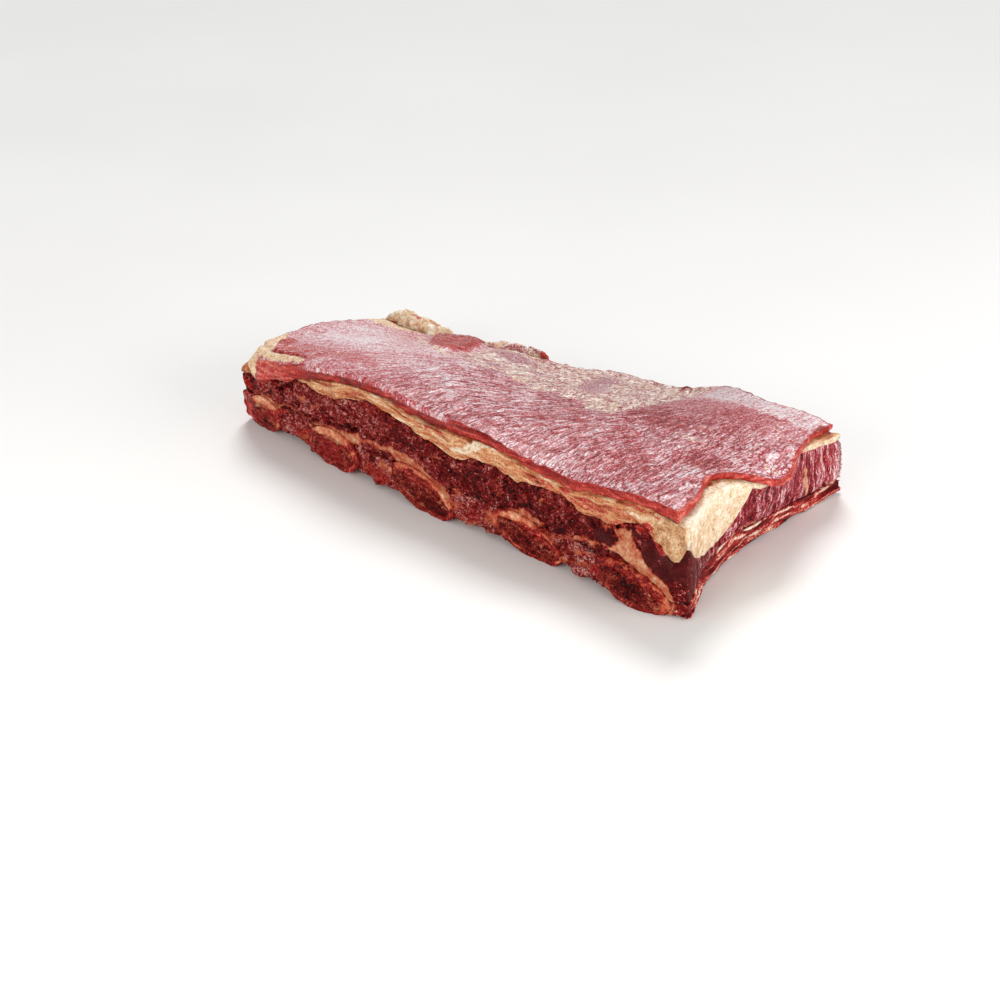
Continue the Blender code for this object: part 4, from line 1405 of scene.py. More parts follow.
    def hem(self, flesh: Flesh, v: Array) -> Array:
        """The band along the top of the front and right rims that shows their cut sides."""
        x, y, z = flesh.points.T
        band = np.exp(-((y - self.front(x, z)) / self.hem_front) ** 2)
        band = band + np.exp(-((self.right(y, z) - x) / self.hem_right) ** 2)
        return band * (v < self.near_front)

    def tone(self, x: Array, u: Array, v: Array, w: Array) -> Array:
        """How bright the cut sides are, with a painted highlight that lightens the lower part of the
        front side.
        """
        tone = 0.44 + 0.03 * ease((x - 0.24) / 0.04)
        tone = tone + 0.18 * ease((0.09 - x) / 0.05) * (v < self.near_front)
        # Painted highlight: the lower part of the front side is lighter.
        return tone + 0.08 * (1 - w) * (x > 0.2) * (v <= 0) + 0.09 * (u >= 1)

    def build(self, finishes: Finishes) -> None:
        """Makes the mesh, its relief and its marks, and dresses it."""
        layer = Layer("top_flap_skin", self.cuts, (self.left, self.right, self.front, self.back),
                      SlabForm.flap_low_z, SlabForm.top_z, self.rim)
        flesh, u, v, w = layer.build()
        self.fold(flesh, v, w)
        x, y, z = flesh.points.T
        fibre = FIBRES.lay(x, y, z)
        a, b = Rough().moved(flesh.points, x, y)
        cloud = flesh.lumps((0.020, 0.020, 0.05), 53)
        torn = flesh.lumps((0.006, 0.0045, 0.01), 54)
        scraps, bulge, corner = self.scraps(flesh, a, b), self.bulge.mask(a, b), self.corner(flesh)
        silver = marked(self.silver_marks, a, b)
        fat = marked(self.fat_marks, a, b) * (1 - silver) * (1 - bulge)
        bloody = np.maximum(0.45 * scraps * ease((-0.35 - torn) / 0.3), bulge)
        raw = np.maximum(marked(self.raw_marks, a, b), bloody)

        strong = ease((x - 0.09) / 0.07) * (1 - 0.8 * ease((y - 0.100) / 0.05))
        strong = (0.35 + 0.65 * strong) * (1 - 0.6 * scraps)
        ridge = ridges(fibre, (0.011, 0.0026, 0.05), 51)
        fine = ridges(fibre, (0.006, 0.0014, 0.05), 52)
        film = self.film_level + summed(self.film_marks, a, b)
        # The ridge tops are lighter and the valleys darker: pale fibres of the film, and partly a
        # painted highlight on the ridges.
        film = film + 0.40 * ridge * strong + 0.25 * fine * strong
        film = film + 0.06 * cloud - 0.07 * np.exp(-((y / 0.007) ** 2)) * (x < 0.24)
        furrow = ease((x - 0.10) / 0.08) * (1 - 0.7 * ease((y - 0.100) / 0.04)) * (1 - 0.9 * scraps)

        side = np.clip((v <= 0) + (v >= 1) + (u <= 0) + (u >= 1), 0, 1).astype(float)
        edge = np.clip(side + 0.8 * self.hem(flesh, v), 0, 1)
        rolled = ease((w - 0.40) / 0.45) * ease((x - 0.040) / 0.06) * (1 - ease((x - 0.200) / 0.03))
        rolled = rolled * (v < self.near_front)
        flesh.write_all(
            fibre=fibre,
            film=film,
            furrow=furrow * (1 - side) * (1 - bulge),
            scrap=np.clip(scraps * (1.15 - 0.3 * bulge) * (1 - side), 0, 1),
            silver=silver,
            fat=np.clip(np.maximum(fat * (1 - side), corner), 0, 1),
            raw=np.clip(raw, 0, 1),
            edge=edge * (1 - 0.7 * fat * (x < self.lip_end)) * (1 - 0.9 * rolled),
            tone=self.tone(x, u, v, w),
        )

        top = (w >= 1).astype(float) * (1 - side)
        smoothed = 0.2 + 0.8 * ease((y - 0.002) / 0.012)
        amount = top * self.ridge * strong * smoothed * (1.7 * ridge + 0.5 * fine)
        amount += top * (0.0007 * cloud + 0.0014 * scraps * torn + 0.0008 * fat - 0.0003)
        amount += top * (bulge * (self.bulge_height + 0.0010 * cloud + 0.0006 * torn) - 0.0005 * raw)
        rough = self.side_relief - self.right_calm * (u >= 1)
        amount += side * (rough * flesh.lumps((0.008, 0.006, 0.0035), 57) - 0.0002)
        at_lip = (x < self.lip_end) * (v < self.near_front)
        amount += at_lip * self.side_relief * flesh.lumps((0.011, 0.006, 0.006), 58)
        flesh.push(amount - self.groove_depth * self.groove.mask(x, y) * (w > 0.5))
        flesh.finish(finishes.flap, "flap_muscle", ["top_flap"])


@dataclass
class FatSeam:
    """The cream fat between the flap and the thick meat, with the kernel at the right corner."""

    cuts: Cuts = (320, 52, 22)
    rim: float = 0.0005
    crowding: Pair = (0.25, 0.55)
    outline: Rough = Rough(0.0012, 0.0035, 63)
    pale_marks: Marks = (
        Stroke(((216, 46), (228, 49), (238, 54), (244, 58), (256, 57)), 2.6, 1.8, 0.75),
        Stroke(((356, 52), (366, 53), (378, 54)), 1.6, 1.4, 0.7),
        Area(((378, 56), (380, 45), (385, 38), (392, 34), (397, 35), (401, 42), (402, 62), (378, 62)),
             2.0),
    )
    raw_marks: Marks = (
        Patch((308, 50), (5, 2.2)),
        Stroke(((262, 44), (290, 45.5), (318, 44.5), (346, 43), (368, 46), (379, 44)), 1.4, 1.8, 0.62),
        Patch((352, 51), (16, 2.5), 0, 0.5),
        Patch((288, 48.5), (18, 2.4), 0, 0.55),
        Patch((332, 47), (14, 2.6), 0, 0.55),
        Patch((193, 55), (14, 2.6), -10, 0.9),
        Stroke(((330, 56), (360, 57.5), (392, 57)), 0.9, 1.0, 0.7),
        Patch((372, 47), (5, 3.5), 0, 0.9),
        Stroke(((110, 50), (124, 54), (140, 57), (160, 55)), 0.8, 1.2, 0.6),
        Stroke(((150, 52), (170, 54), (186, 51)), 0.8, 1.2, 0.6),
    )
    # Thin partings, recessed and painted in shade.
    gap_and_shade_marks: Marks = (
        Patch((287.5, 47.2), (1.1, 1.3)),
        Stroke(((101, 46), (101.3, 51), (101, 55)), 0.35, 0.5, 0.7, 0.2),
        Stroke(((399, 52), (399.8, 44), (398.6, 36)), 0.5, 0.6, 0.5, 0.1),
    )

    @staticmethod
    def right(y: Array, z: Array) -> Array:
        """Its right end, swelling at the kernel."""
        return SlabForm.right_x(y, z) + 0.0015 * hump(y, 0, (0.026, 0), (0.030, 1))

    @staticmethod
    def front(x: Array, z: Array) -> Array:
        """Its edge at the sawn face, tucked in under the flap near the left end."""
        return SlabForm.front_y(x, z) + 0.0075 * np.exp(-(((x - 0.040) / 0.024) ** 2))

    @staticmethod
    def lie(flesh: Flesh, w: Array) -> Array:
        """Coordinates that run along and across the ropes of fat."""
        x, y, z = flesh.points.T
        fibre = np.stack([x + 0.8 * y, 0.55 * z + 0.0035 * w + 0.25 * y * (x > 0.37), y * 0.4], axis=1)
        fibre[:, 1] += 0.0012 * wobble(x, y, 0.04, 61) + 0.0006 * wobble(x, y, 0.014, 62)
        return fibre

    def masks(self, flesh: Flesh, on_front: Array, on_end: Array) -> tuple[Array, Array, Array]:
        """Where the fat is pale, where it is bloody and where it parts; the partings are painted in
        shade.
        """
        x, y, z = flesh.points.T
        a, b = self.outline.moved(flesh.points, x, z)
        kernel = ease((x - 0.374) / 0.008) * (1 - ease((y - 0.078) / 0.012)) * (1 - on_front)
        pale = np.maximum(marked(self.pale_marks, a, b) * on_front, kernel)
        far_end = on_end * ease((y - 0.082) / 0.008)
        pale = np.maximum(pale, 0.8 * far_end * ease((y - 0.118) / 0.01))
        spot = hump(y, z, (0.129, 0.0425), (0.004, 0.005))
        raw = np.maximum(marked(self.raw_marks, a, b) * on_front,
                         far_end * np.clip(0.6 * ease((0.122 - y) / 0.02) + spot, 0, 1))
        gap = marked(self.gap_and_shade_marks, x, z) * np.maximum(on_front, on_end * (y < 0.004))
        return pale, raw, gap

    @staticmethod
    def tone(flesh: Flesh, on_front: Array, on_end: Array) -> Array:
        """How bright the pale fat is, before its curds: painted shade darkens the kernel's front and a
        patch on the end, and a painted highlight lightens the top of the end.
        """
        x, y, z = flesh.points.T
        tone = 0.50 - 0.17 * on_front * ease((x - 0.37) / 0.01)
        tone = tone + 0.06 * on_front * ease((0.30 - x) / 0.02)
        shaded = 0.10 * hump(y, z, (0.012, 0.036), (0.022, 0.008))
        return tone + on_end * (0.10 * ease((z - 0.044) / 0.012) - shaded)

    def build(self, finishes: Finishes) -> None:
        """Makes the mesh, its relief and its marks, and dresses it."""
        layer = Layer("fat_seam_ropes", self.cuts,
                      (SlabForm.left_x, self.right, self.front, SlabForm.back_y),
                      SlabForm.fat_low_z, SlabForm.flap_low_z, self.rim, self.crowding)
        flesh, u, v, w = layer.build()
        x, _, z = flesh.points.T
        on_front, on_end = (v <= 0).astype(float), (u >= 1).astype(float)
        fibre, tone = self.lie(flesh, w), self.tone(flesh, on_front, on_end)
        pale, raw, gap = self.masks(flesh, on_front, on_end)
        ropes = ridges(fibre, (0.026, 0.0021, 0.02), 64)
        hairs = ridges(fibre, (0.012, 0.0009, 0.008), 67)
        lumps = flesh.lumps((0.010, 0.009, 0.005), 65)
        pebbles = flesh.lumps((0.0035, 0.0035, 0.0028), 66)
        curds = flesh.lumps((0.0065, 0.0065, 0.0050), 68)
        open_face = np.clip(on_front + on_end + (u <= 0) + (v >= 1), 0, 1)
        amount = (1 - pale) * (0.0012 * ropes + 0.0006 * hairs + 0.0010 * lumps) + 0.00035 * pebbles
        amount += on_front * (0.0016 * pale - 0.0006 * raw) - 0.0003 - 0.0020 * gap
        amount += pale * (0.0004 * lumps + 0.0006 * curds + 0.0003 * pebbles)
        ochre = ease((x - 0.250) / 0.02) * (1 - ease((x - 0.352) / 0.01)) * ease((0.0500 - z) / 0.006)
        flesh.push(open_face * amount)
        flesh.write_all(fibre=fibre, rope=0.47 - 0.07 * ochre + 0.25 * ropes + 0.20 * hairs, pale=pale,
                        tone=tone + 0.10 * curds, raw=raw, gap=gap)
        flesh.finish(finishes.fat, "fat", ["fat_seam"])


@dataclass
class RibMeat:
    """The thick dark meat between the fat seam and the bones."""

    cuts: Cuts = (320, 90, 36)
    rim: float = 0.0012
    crowding: Pair = (0.25, 0.6)

    @staticmethod
    def lie(flesh: Flesh, rear: Array) -> Array:
        """Coordinates that run along and across the fibres."""
        x, y, z = flesh.points.T
        fibre = np.stack([z + 0.18 * y, y + 0.08 * z, x], axis=1)
        fibre[rear > 0] = np.stack([x, z, y], axis=1)[rear > 0]
        fibre[:, 1] += 0.0008 * wobble(y, z, 0.02, 82)
        return fibre

    def build(self, finishes: Finishes) -> None:
        """Makes the mesh, its relief and its marks, and dresses it."""
        edges = (SlabForm.left_x, SlabForm.right_x, SlabForm.front_y, SlabForm.back_y)
        layer = Layer("rib_meat_grain", self.cuts, edges, SlabForm.bed_z, SlabForm.fat_low_z, self.rim,
                      self.crowding)
        flesh, u, v, w = layer.build()
        x, y, z = flesh.points.T
        on_front, rear = (v <= 0).astype(float), (v >= 1).astype(float)
        on_left, on_end = (u <= 0).astype(float), (u >= 1).astype(float)
        masks = face_masks(flesh, on_front, on_end)
        lobe = on_end * (1 - ease((y - 0.030) / 0.020))
        masks["smooth"] = np.maximum(masks["smooth"], 0.55 * lobe)
        lengthwise = on_end * ease((y - 0.004) / 0.010) + 0.7 * rear

        fibre = self.lie(flesh, rear)
        grain = flesh.lumps(0.0021, 83)
        lumps = flesh.lumps((0.0075, 0.0075, 0.006), 84)
        lines = ridges(fibre, (0.020, 0.0021, 0.01), 86)
        lobed = ease((0.135 - x) / 0.04) * (1 - on_left)
        crease = ease(ridges(flesh.points, (0.015, 0.015, 0.011), 88, 0.80) / 0.18)
        crease = crease * lobed * (1 - on_end)

        plain = (1 - masks["smooth"]) * (1 - masks["fascia"]) * (1 - lengthwise)
        coarse = 0.0010 * grain * (1 - 0.8 * on_left) + 0.0013 * lumps * (1 + lobed) - 0.0020 * crease
        round_in = np.sin(math.pi * np.clip(w, 0, 1)) ** 0.4
        amount = plain * coarse
        amount += relief(masks) + 0.0016 * on_left * wobble(y, 1.4 * z, 0.016, 89)
        amount += on_front * round_in * 0.0013 * wobble(x, z * 1.6, 0.042, 85)
        lined = lengthwise * (1 - masks["smooth"])
        amount += lined * (0.0016 * lines + 0.0006 * lumps) + 0.0001 * grain
        flesh.push(np.clip(on_front + on_end + np.clip(on_left + rear, 0, 1), 0, 1) * amount)

        patchy = flesh.lumps((0.024, 0.024, 0.016), 87, 2)
        tone = mix(0.57, 0.46, ease((x - 0.10) / 0.09)) + 0.09 * lumps
        tone = tone + 0.07 * patchy * (1 - on_end) - 0.10 * rear
        far_end = 0.04 * ease((y - 0.09) / 0.01) + 0.08 * ease((y - 0.135) / 0.01)
        tone += on_end * (far_end - 0.03 * lobe)
        # Painted shade: the meat is darker in its creases.
        tone -= 0.20 * crease
        flesh.write_all(fibre=fibre, tone=tone + 0.30 * lengthwise * lines, lengthwise=lengthwise,
                        **masks)
        flesh.finish(finishes.meat, "dark_meat", ["rib_meat"])


@dataclass
class SawnRib:
    """One rib: a bone wall and the marrow that fills it."""

    number: int
    rib: Rib
    sides: int = 96
    rings: int = 56
    face_rings: int = 12
    wall_rings: int = 6
    proud: float = 0.0007
    core_marks: Marks = (
        Patch((363, 10), (9, 6)),
        Patch((205, 6), (12, 3.5), -14, 0.8),
        Patch((278, 8), (14, 4), -12, 0.5),
        Patch((20, 6), (10, 4), 0, 0.6),
    )

    def tube(self, radii: Sequence[float], caps: bool) -> bmesh.types.BMesh:
        """Unit cylinders along Z, cut into rings, with the inner ones turned inside out."""
        bm = bmesh.new()
        for radius in radii:
            bmesh.ops.create_cone(bm, segments=self.sides, radius1=radius, radius2=radius, depth=1.0,
                                  cap_ends=caps)
        hollow = [f for f in bm.faces if len(radii) > 1 and f.calc_center_median().xy.length < 0.7]
        bmesh.ops.reverse_faces(bm, faces=hollow)
        edges = [e for e in bm.edges if abs(e.verts[0].co.z - e.verts[1].co.z) > 0.5]
        bmesh.ops.subdivide_edges(bm, edges=edges, cuts=self.rings - 1)
        return bm

    def bone(self, finishes: Finishes) -> None:
        """Makes the wall and dresses it."""
        bm = self.tube((1.0, 0.5), False)
        rims = [e for e in bm.edges if e.is_boundary]
        for end in (-0.5, 0.5):
            loops = [e for e in rims if abs(e.verts[0].co.z - end) < 0.01]
            made = bmesh.ops.bridge_loops(bm, edges=loops)
            reach = {e: [vert.co.xy.length for vert in e.verts] for e in made["edges"]}
            across = [e for e, (near, far) in reach.items() if abs(near - far) > 0.3]
            bmesh.ops.subdivide_edges(bm, edges=across, cuts=self.wall_rings - 1)
        flesh = Flesh(f"rib_{self.number}_wall", bm)
        sx, sy, sz = flesh.unit
        inner = np.clip((1.0 - np.hypot(sx, sy)) / 0.5, 0.0, 1.0)
        self.place(flesh, np.arctan2(sy, sx), inner, sz + 0.5, 0.0)
        near = self.dress(flesh, sz, (inner <= 0.01).astype(float), 0.0)
        flesh.write_all(cut=near, bare=ease((sz - 0.47) / 0.03))
        flesh.finish(finishes.bone, "bone", [f"rib_bone_{self.number}"])

    def marrow(self, finishes: Finishes) -> None:
        """Makes the marrow and dresses it."""
        bm = self.tube((1.0,), True)
        for _ in range(self.face_rings):
            caps = [f for f in bm.faces if abs(f.normal.z) > 0.9 and len(f.verts) > 4]
            bmesh.ops.inset_individual(bm, faces=caps, thickness=0.98 / (self.face_rings + 1))
        flesh = Flesh(f"rib_{self.number}_marrow", bm)
        sx, sy, sz = flesh.unit
        radius = np.clip(np.hypot(sx, sy), 0, 1)
        self.place(flesh, np.arctan2(sy, sx), 0.96 + 0 * radius, sz + 0.5, 0.0004, radius)
        self.dress(flesh, sz, 0 * radius, ease((1 - radius) / 0.08))
        flesh.write("core", marked(self.core_marks, *flesh.points.T[::2]))
        flesh.finish(finishes.marrow, "marrow", [f"rib_marrow_{self.number}"])

    def dress(self, flesh: Flesh, height: Array, outside: Array, spongy: Array | float) -> Array:
        """Gives a rib's piece the relief and the marks of the sawn face.

        Args:
            flesh: the piece.
            height: where each point is along the unit cylinder, from -0.5 to 0.5.
            outside: 1 for points on the outer side and 0 for others.
            spongy: how deeply each point of the cut is pitted.

        Returns:
            A value that falls from 1 at the sawn face to 0 behind it, for each point.
        """
        facing = np.clip(1.0 - (height + 0.5) / 0.004, 0, 1)
        near = 1 - ease((height + 0.5) / 0.12 - 0.2)
        masks = face_masks(flesh, np.maximum(facing, 0.5 * near), 0 * facing)
        lumps = flesh.lumps((0.006, 0.006, 0.003), 100 * self.number)
        pits = flesh.lumps(0.0019, 100 * self.number + 3)
        amount = 0.0003 * lumps * outside + facing * (0.0004 * lumps + 0.00025 * pits)
        amount = amount + relief(masks) * 0.5
        flesh.push(amount - 0.0001 + facing * spongy * (0.0006 * pits - 0.0008))
        flesh.write_all(**{name: masks[name] for name in ("fascia", "raw", "gap")})
        return near

    def place(self, flesh: Flesh, angle: Array, inner: Array, v: Array, recess: float,
              radius: Array | float = 1.0) -> None:
        """Bends a unit cylinder along Z into the rib from front to back."""
        ahead = along(SlabForm.FRONT_Y, self.rib.x) - self.proud + recess
        behind = along(SlabForm.BACK_Y, self.rib.x) - 0.002 - recess
        y = mix(ahead, behind, v)
        x, z = self.rib.skin(angle, y, inner)
        middle, height, *_ = self.rib.section(y)
        x, z = mix(middle, x, radius), mix(height - 0.0014, z, radius)
        slope = SlabForm.front_y(x, z) - along(SlabForm.FRONT_Y, self.rib.x)
        flesh.put(x, y + slope * (1.0 - v) ** 8, z)

    def build(self, finishes: Finishes) -> None:
        """Makes both pieces."""
        self.bone(finishes)
        self.marrow(finishes)


@dataclass
class BetweenMeat:
    """The meat between two ribs, or beyond the outer ribs at the slab's ends."""

    number: int
    cuts: Cuts = (40, 60, 26)
    skirt_cuts: Cuts = (40, 150, 34)
    first_seed: int = 700

    @property
    def last(self) -> bool:
        """Whether this is the layered skirt at the right end."""
        return self.number == len(RIBS)

    def left(self, y: Array, z: Array) -> Array:
        """Its left side: the rib before it, or the slab's left end."""
        return RIBS[self.number - 1].flank_x(y, z, 1) if self.number > 0 else SlabForm.left_x(y, z)

    def right(self, y: Array, z: Array) -> Array:
        """Its right side: the rib after it, or the slab's right end."""
        return SlabForm.right_x(y, z) if self.last else RIBS[self.number].flank_x(y, z, -1)

    def front(self, x: Array, z: Array) -> Array:
        """Its face at the saw cut."""
        return SlabForm.front_y(x, z) + 0.0004 + 0.0010 * wobble(x, z, 0.018, 41)

    def foot(self, x: Array, y: Array) -> Array:
        """Its underside, lifted off the floor except under the right end."""
        lift = along(SlabForm.BED_FOOT, y) + 0.0008 * wobble(x, y, 0.025, 43)
        return mix(lift, 0.0012, ease((x - SlabForm.right_x(y, 0.0) + 0.03) / 0.02))

    def build(self, finishes: Finishes) -> None:
        """Makes the mesh, its relief and its marks, and dresses it."""
        name = "end_skirt_layers" if self.last else f"between_meat_{self.number + 1}_rags"
        flesh = Flesh(name, unit_block(self.skirt_cuts if self.last else self.cuts))
        u, v, w = flesh.unit
        near_v = mix(v, v**2, 0.0 if self.last else 0.6)
        high = mix(w, 0.5 - 0.5 * np.cos(math.pi * w), 0.7)
        y = near_v * SlabForm.BACK_Y[0, 1]
        x = mix(self.left(y, 0.012 + 0 * y), self.right(y, 0.012 + 0 * y), u)
        for _ in range(BENDS):
            z = mix(self.foot(x, y), SlabForm.between_top_z(x, y), high)
            x = mix(self.left(y, z), self.right(y, z), u)
            y = mix(self.front(x, z), SlabForm.back_y(x, z) - 0.001, near_v)
        flesh.put(x, y, mix(self.foot(x, y), SlabForm.between_top_z(x, y), high))
        self.dress(flesh, u, v, w, finishes)

    def dress(self, flesh: Flesh, u: Array, v: Array, w: Array, finishes: Finishes) -> None:
        """Gives the block its relief, marks and finish."""
        x, y, z = flesh.points.T
        on_front, on_end = (v <= 0).astype(float), ((u >= 1) & self.last).astype(float)
        on_left = ((u <= 0) & (self.number == 0)).astype(float)
        under = (w <= 0).astype(float)
        seed = self.first_seed + 10 * self.number
        grain = flesh.lumps(0.0023, seed)
        lumps = flesh.lumps((0.008, 0.008, 0.006), seed + 1)
        masks = face_masks(flesh, on_front, on_end)
        near_left = ease((0.012 - x) / 0.006)
        amount = on_front * (0.0012 * grain + 0.0018 * lumps - 0.0006) * (1 - 0.75 * near_left)
        amount = amount + relief(masks) + on_left * 0.0008 * lumps
        if self.last:
            fibre = np.stack([y + 0.4 * x, z + 0.10 * x + 0.0016 * wobble(y, x, 0.03, 44), x], axis=1)
            sheets = ridges(fibre, (0.060, 0.0028, 0.02), 45)
            flesh.push(amount + on_end * (0.0034 * sheets + 0.0007 * lumps))
            crest = ease((sheets - 0.09) / 0.14) * (0.6 + 0.3 * wobble(y, z, 0.035, 46))
            laid = np.maximum(crest, masks["fascia"]) * on_end
            masks["fascia"] = masks["fascia"] * (1 - on_end)
            masks["raw"] = masks["raw"] * (1 - on_end)
            sheet = 0.32 + 0.36 * laid - 0.10 * ease((-0.10 - sheets) / 0.2) - 0.04 * under
            flesh.write_all(fibre=fibre, sheet=sheet, **kept_in(masks))
            flesh.finish(finishes.membrane, "membrane", ["end_skirt"])
        else:
            flesh.push(amount + under * 0.0008 * lumps)
            masks["fascia"] = np.maximum(masks["fascia"], under * (0.35 + 0.4 * lumps))
            masks["raw"] = np.maximum(masks["raw"], 0.3 * on_left + 0.35 * under)
            fibre = np.stack([x + 0.5 * z, z - 0.3 * x, y], axis=1)
            flesh.write_all(fibre=fibre, tone=0.62 + 0.10 * lumps, lengthwise=0 * x, **kept_in(masks))
            flesh.finish(finishes.between, "between_meat", [f"between_meat_{self.number + 1}"])


class LumpKind(Enum):
    """What a lump behind the flap is made of."""

    FAT = "fat"
    MEAT = "meat"
    SILVER = "silver"


@dataclass
class BackLump:
    """One of the lumps that bulge up along the back's left half."""

    kind: LumpKind
    start: float
    stop: float
    height: float
    behind: float
    cuts: Cuts = (90, 50, 22)
    rim: float = 0.004

    def top(self, x: Array, y: Array) -> Array:
        """Its upper side."""
        share = np.clip((x - self.start) / (self.stop - self.start), 0.03, 0.97)
        bulge = np.sin(math.pi * share) ** 0.55
        depth = np.clip((SlabForm.back_y(x, 0) - y) / (along(SlabForm.FLAP_SET_BACK, x) + 0.001), 0, 1)
        rise = self.height * bulge * np.sin(math.pi * (0.12 + 0.76 * depth))
        return SlabForm.top_z(x, y) + rise - 0.001

    def left(self, y: Array, _: Array) -> Array:
        """Its left side."""
        return self.start + 0 * y

    def right(self, y: Array, _: Array) -> Array:
        """Its right side."""
        return self.stop + 0 * y

    def front(self, x: Array, z: Array) -> Array:
        """Its side against the flap."""
        return SlabForm.back_y(x, z) - along(SlabForm.FLAP_SET_BACK, x)

    def back(self, x: Array, z: Array) -> Array:
        """Its side towards the back."""
        return SlabForm.back_y(x, z) - self.behind

    @staticmethod
    def fat_marks(places: Array, nodules: Array, pebbles: Array) -> dict[str, Array]:
        """The marks of the lump of fat."""
        return {"rope": 0.58 + 0.2 * pebbles, "pale": 0.55 + 0.35 * nodules, "gap": 0 * places[:, 0],
                "raw": 0.60 * ease((-0.15 - nodules) / 0.4), "tone": 0.53 + 0.1 * pebbles}

    @staticmethod
    def meat_marks(places: Array, nodules: Array, _: Array) -> dict[str, Array]:
        """The marks of the lump of meat."""
        x, y, z = places.T
        return {"fibre": np.stack([x + y, y - x, z], axis=1), "raw": 0.55 + 0.1 * nodules,
                "fascia": 0.62 * ease((0.062 - x) / 0.004) + 0.6 * ease((nodules - 0.45) / 0.3),
                "smooth": 0 * x, "gap": 0 * x, "lengthwise": 0.7 + 0 * x, "tone": 0.66 + 0 * x}

    @staticmethod
    def silver_marks(places: Array, nodules: Array, _: Array) -> dict[str, Array]:
        """The marks of the silvery lump."""
        x, y, z = places.T
        rim = ease((x - 0.128) / 0.004) + ease((y - SlabForm.back_y(x, z) + 0.0035) / 0.002)
        return {"fibre": FIBRES.lay(x, y, z), "film": 0.54 + 0.20 * nodules, "edge": np.clip(rim, 0, 1),
                "silver": 0.55 * ease((-nodules - 0.1) / 0.3),
                "fat": 0.62 * ease((nodules - 0.05) / 0.4),
                "raw": 0.5 * ease((-0.3 - nodules) / 0.3), "tone": 0.5 + 0 * x, "scrap": 0.7 + 0 * x,
                "furrow": 0 * x}

    def build(self, finishes: Finishes) -> None:
        """Makes the mesh, its relief and its marks, and dresses it."""
        name = f"{self.kind.value}_lump"
        layer = Layer(f"{name}_relief", self.cuts, (self.left, self.right, self.front, self.back),
                      SlabForm.flap_low_z, self.top, self.rim)
        flesh, _, _, w = layer.build()
        nodules = flesh.lumps((0.0085, 0.0085, 0.007), 91)
        pebbles = flesh.lumps(0.0032, 92)
        coarse, fine, seat, marks, finish, slot = {
            LumpKind.FAT: (0.0026, 0.0011, 0.0010, self.fat_marks, finishes.fat, "fat"),
            LumpKind.MEAT: (0.0010, 0.0003, 0.0005, self.meat_marks, finishes.meat, "dark_meat"),
            LumpKind.SILVER: (0.0012, 0.0004, 0.0006, self.silver_marks, finishes.flap, "flap_muscle"),
        }[self.kind]
        found = marks(flesh.points, nodules, pebbles)
        flesh.push((w > 0).astype(float) * (coarse * nodules + fine * pebbles - seat))
        flesh.write_all(**{"fibre": flesh.points, **found})
        flesh.finish(finish, slot, [name])


# ---- The room ----------------------------------------------------------------
@dataclass(frozen=True)
class Lamp:
    """One round area lamp: its place, width, power and colour."""

    name: str
    place: Triple
    size: float
    power: float
    colour: Triple

    def build(self) -> None:
        """Hangs the lamp, turned to the slab."""
        light = bpy.data.lights.new(self.name, "AREA")
        light.shape = "DISK"
        light.size = self.size
        light.energy = self.power
        light.color = self.colour
        made = bpy.data.objects.new(self.name, light)
        made.location = self.place
        aim = Vector((0.0, 0.0, 0.03)) - Vector(self.place)
        made.rotation_euler = aim.to_track_quat("-Z", "Y").to_euler()
        bpy.context.scene.collection.objects.link(made)


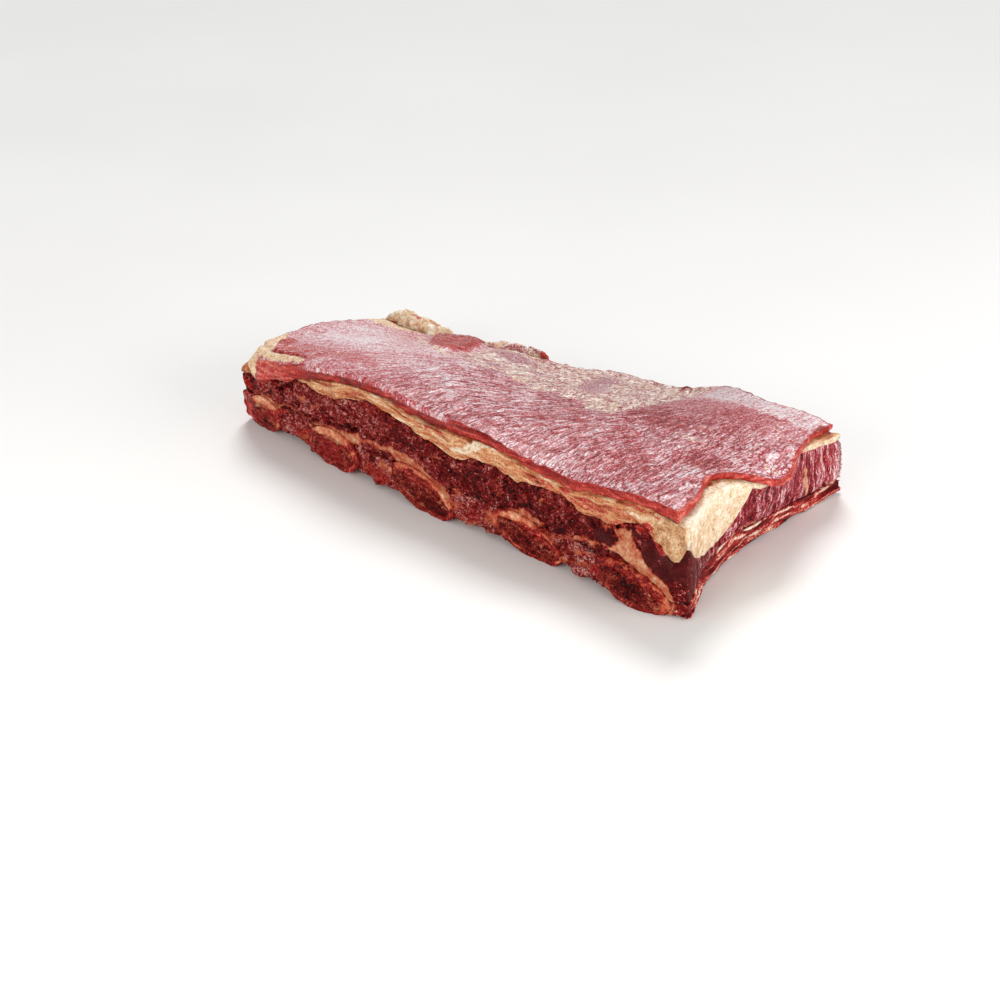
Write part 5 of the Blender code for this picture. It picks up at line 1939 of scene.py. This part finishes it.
@dataclass
class Room:
    """A plain pale floor, soft studio light and the camera."""

    lens: float = 70.73
    eye: Triple = (1.0167, -0.6779, 0.5400)
    forward: Triple = (-0.66773, 0.59174, -0.45164)
    right: Triple = (0.68154, 0.73000, -0.05115)
    sky: float = 0.34
    floor_reach: float = 60.0
    sun_from: Triple = (-0.75, 0.80, 1.00)
    sun_power: float = 2.2
    sun_width: float = 24.0
    lamps: Sequence[Lamp] = (
        Lamp("side", (1.30, 0.20, 0.45), 0.90, 12.0, (1.0, 0.98, 0.96)),
        Lamp("face", (0.20, -1.25, 0.45), 0.90, 8.0, (1.0, 0.94, 0.88)),
    )

    def floor(self) -> None:
        """A wide pale floor."""
        bm = bmesh.new()
        bmesh.ops.create_grid(bm, x_segments=4, y_segments=4, size=self.floor_reach)
        mesh = bpy.data.meshes.new("floor")
        bm.to_mesh(mesh)
        bm.free()
        net = Wiring("pale_floor")
        cloud = net.noise(net.place, 3.0, 2.0)
        colour = net.ramp(cloud, ((0.3, (244, 244, 243)), (0.7, (248, 248, 247))))
        mesh.materials.append(net.close(colour, net.step(cloud, -4.0, 1.0), net.bump(cloud, 0.0001),
                                        Wet(coat=0.0, depth=0.0, specular=0.2)))
        made = bpy.data.objects.new("floor", mesh)
        bpy.context.scene.collection.objects.link(made)
        made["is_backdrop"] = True

    def light(self) -> None:
        """The lamps, and a pale sky."""
        world = bpy.data.worlds.new("studio")
        world.use_nodes = True
        sky = world.node_tree.nodes["Background"]
        sky.inputs["Color"].default_value = (1.0, 1.0, 1.0, 1.0)
        sky.inputs["Strength"].default_value = self.sky
        bpy.context.scene.world = world
        key = bpy.data.lights.new("key", "SUN")
        key.energy = self.sun_power
        key.angle = math.radians(self.sun_width)
        made = bpy.data.objects.new("key", key)
        made.rotation_euler = (-Vector(self.sun_from)).to_track_quat("-Z", "Y").to_euler()
        bpy.context.scene.collection.objects.link(made)
        for lamp in self.lamps:
            lamp.build()

    def camera(self) -> None:
        """The camera at the photograph's angle."""
        lens = bpy.data.cameras.new("camera")
        lens.lens = self.lens
        lens.sensor_width = 36.0
        lens.clip_start = 0.01
        made = bpy.data.objects.new("camera", lens)
        forward, right = Vector(self.forward).normalized(), Vector(self.right).normalized()
        up = right.cross(forward).normalized()
        place = Vector(self.eye) + Vector(SHIFT)
        turned = Matrix((right, up, -forward)).transposed().to_4x4()
        made.matrix_world = Matrix.Translation(place) @ turned
        bpy.context.scene.collection.objects.link(made)
        bpy.context.scene.camera = made

    def build(self) -> None:
        """Makes the floor, the light and the camera."""
        bpy.context.scene.view_settings.view_transform = "Standard"
        self.floor()
        self.light()
        self.camera()


def main() -> None:
    """Builds the slab's pieces and the room."""
    logging.basicConfig(level=logging.INFO, format="%(name)s: %(message)s")
    finishes = Finishes()
    pieces = [TopFlap(), FatSeam(), RibMeat()]
    pieces += [SawnRib(number, rib) for number, rib in enumerate(RIBS, start=1)]
    pieces += [BetweenMeat(number) for number in range(len(RIBS) + 1)]
    pieces += [
        BackLump(LumpKind.FAT, 0.0035, 0.0555, 0.0115, 0.001),
        BackLump(LumpKind.MEAT, 0.0555, 0.0885, 0.0055, 0.003),
        BackLump(LumpKind.SILVER, 0.0885, 0.136, 0.0060, 0.000),
    ]
    for piece in pieces:
        piece.build(finishes)
    Room().build()


if __name__ == "__main__":
    main()
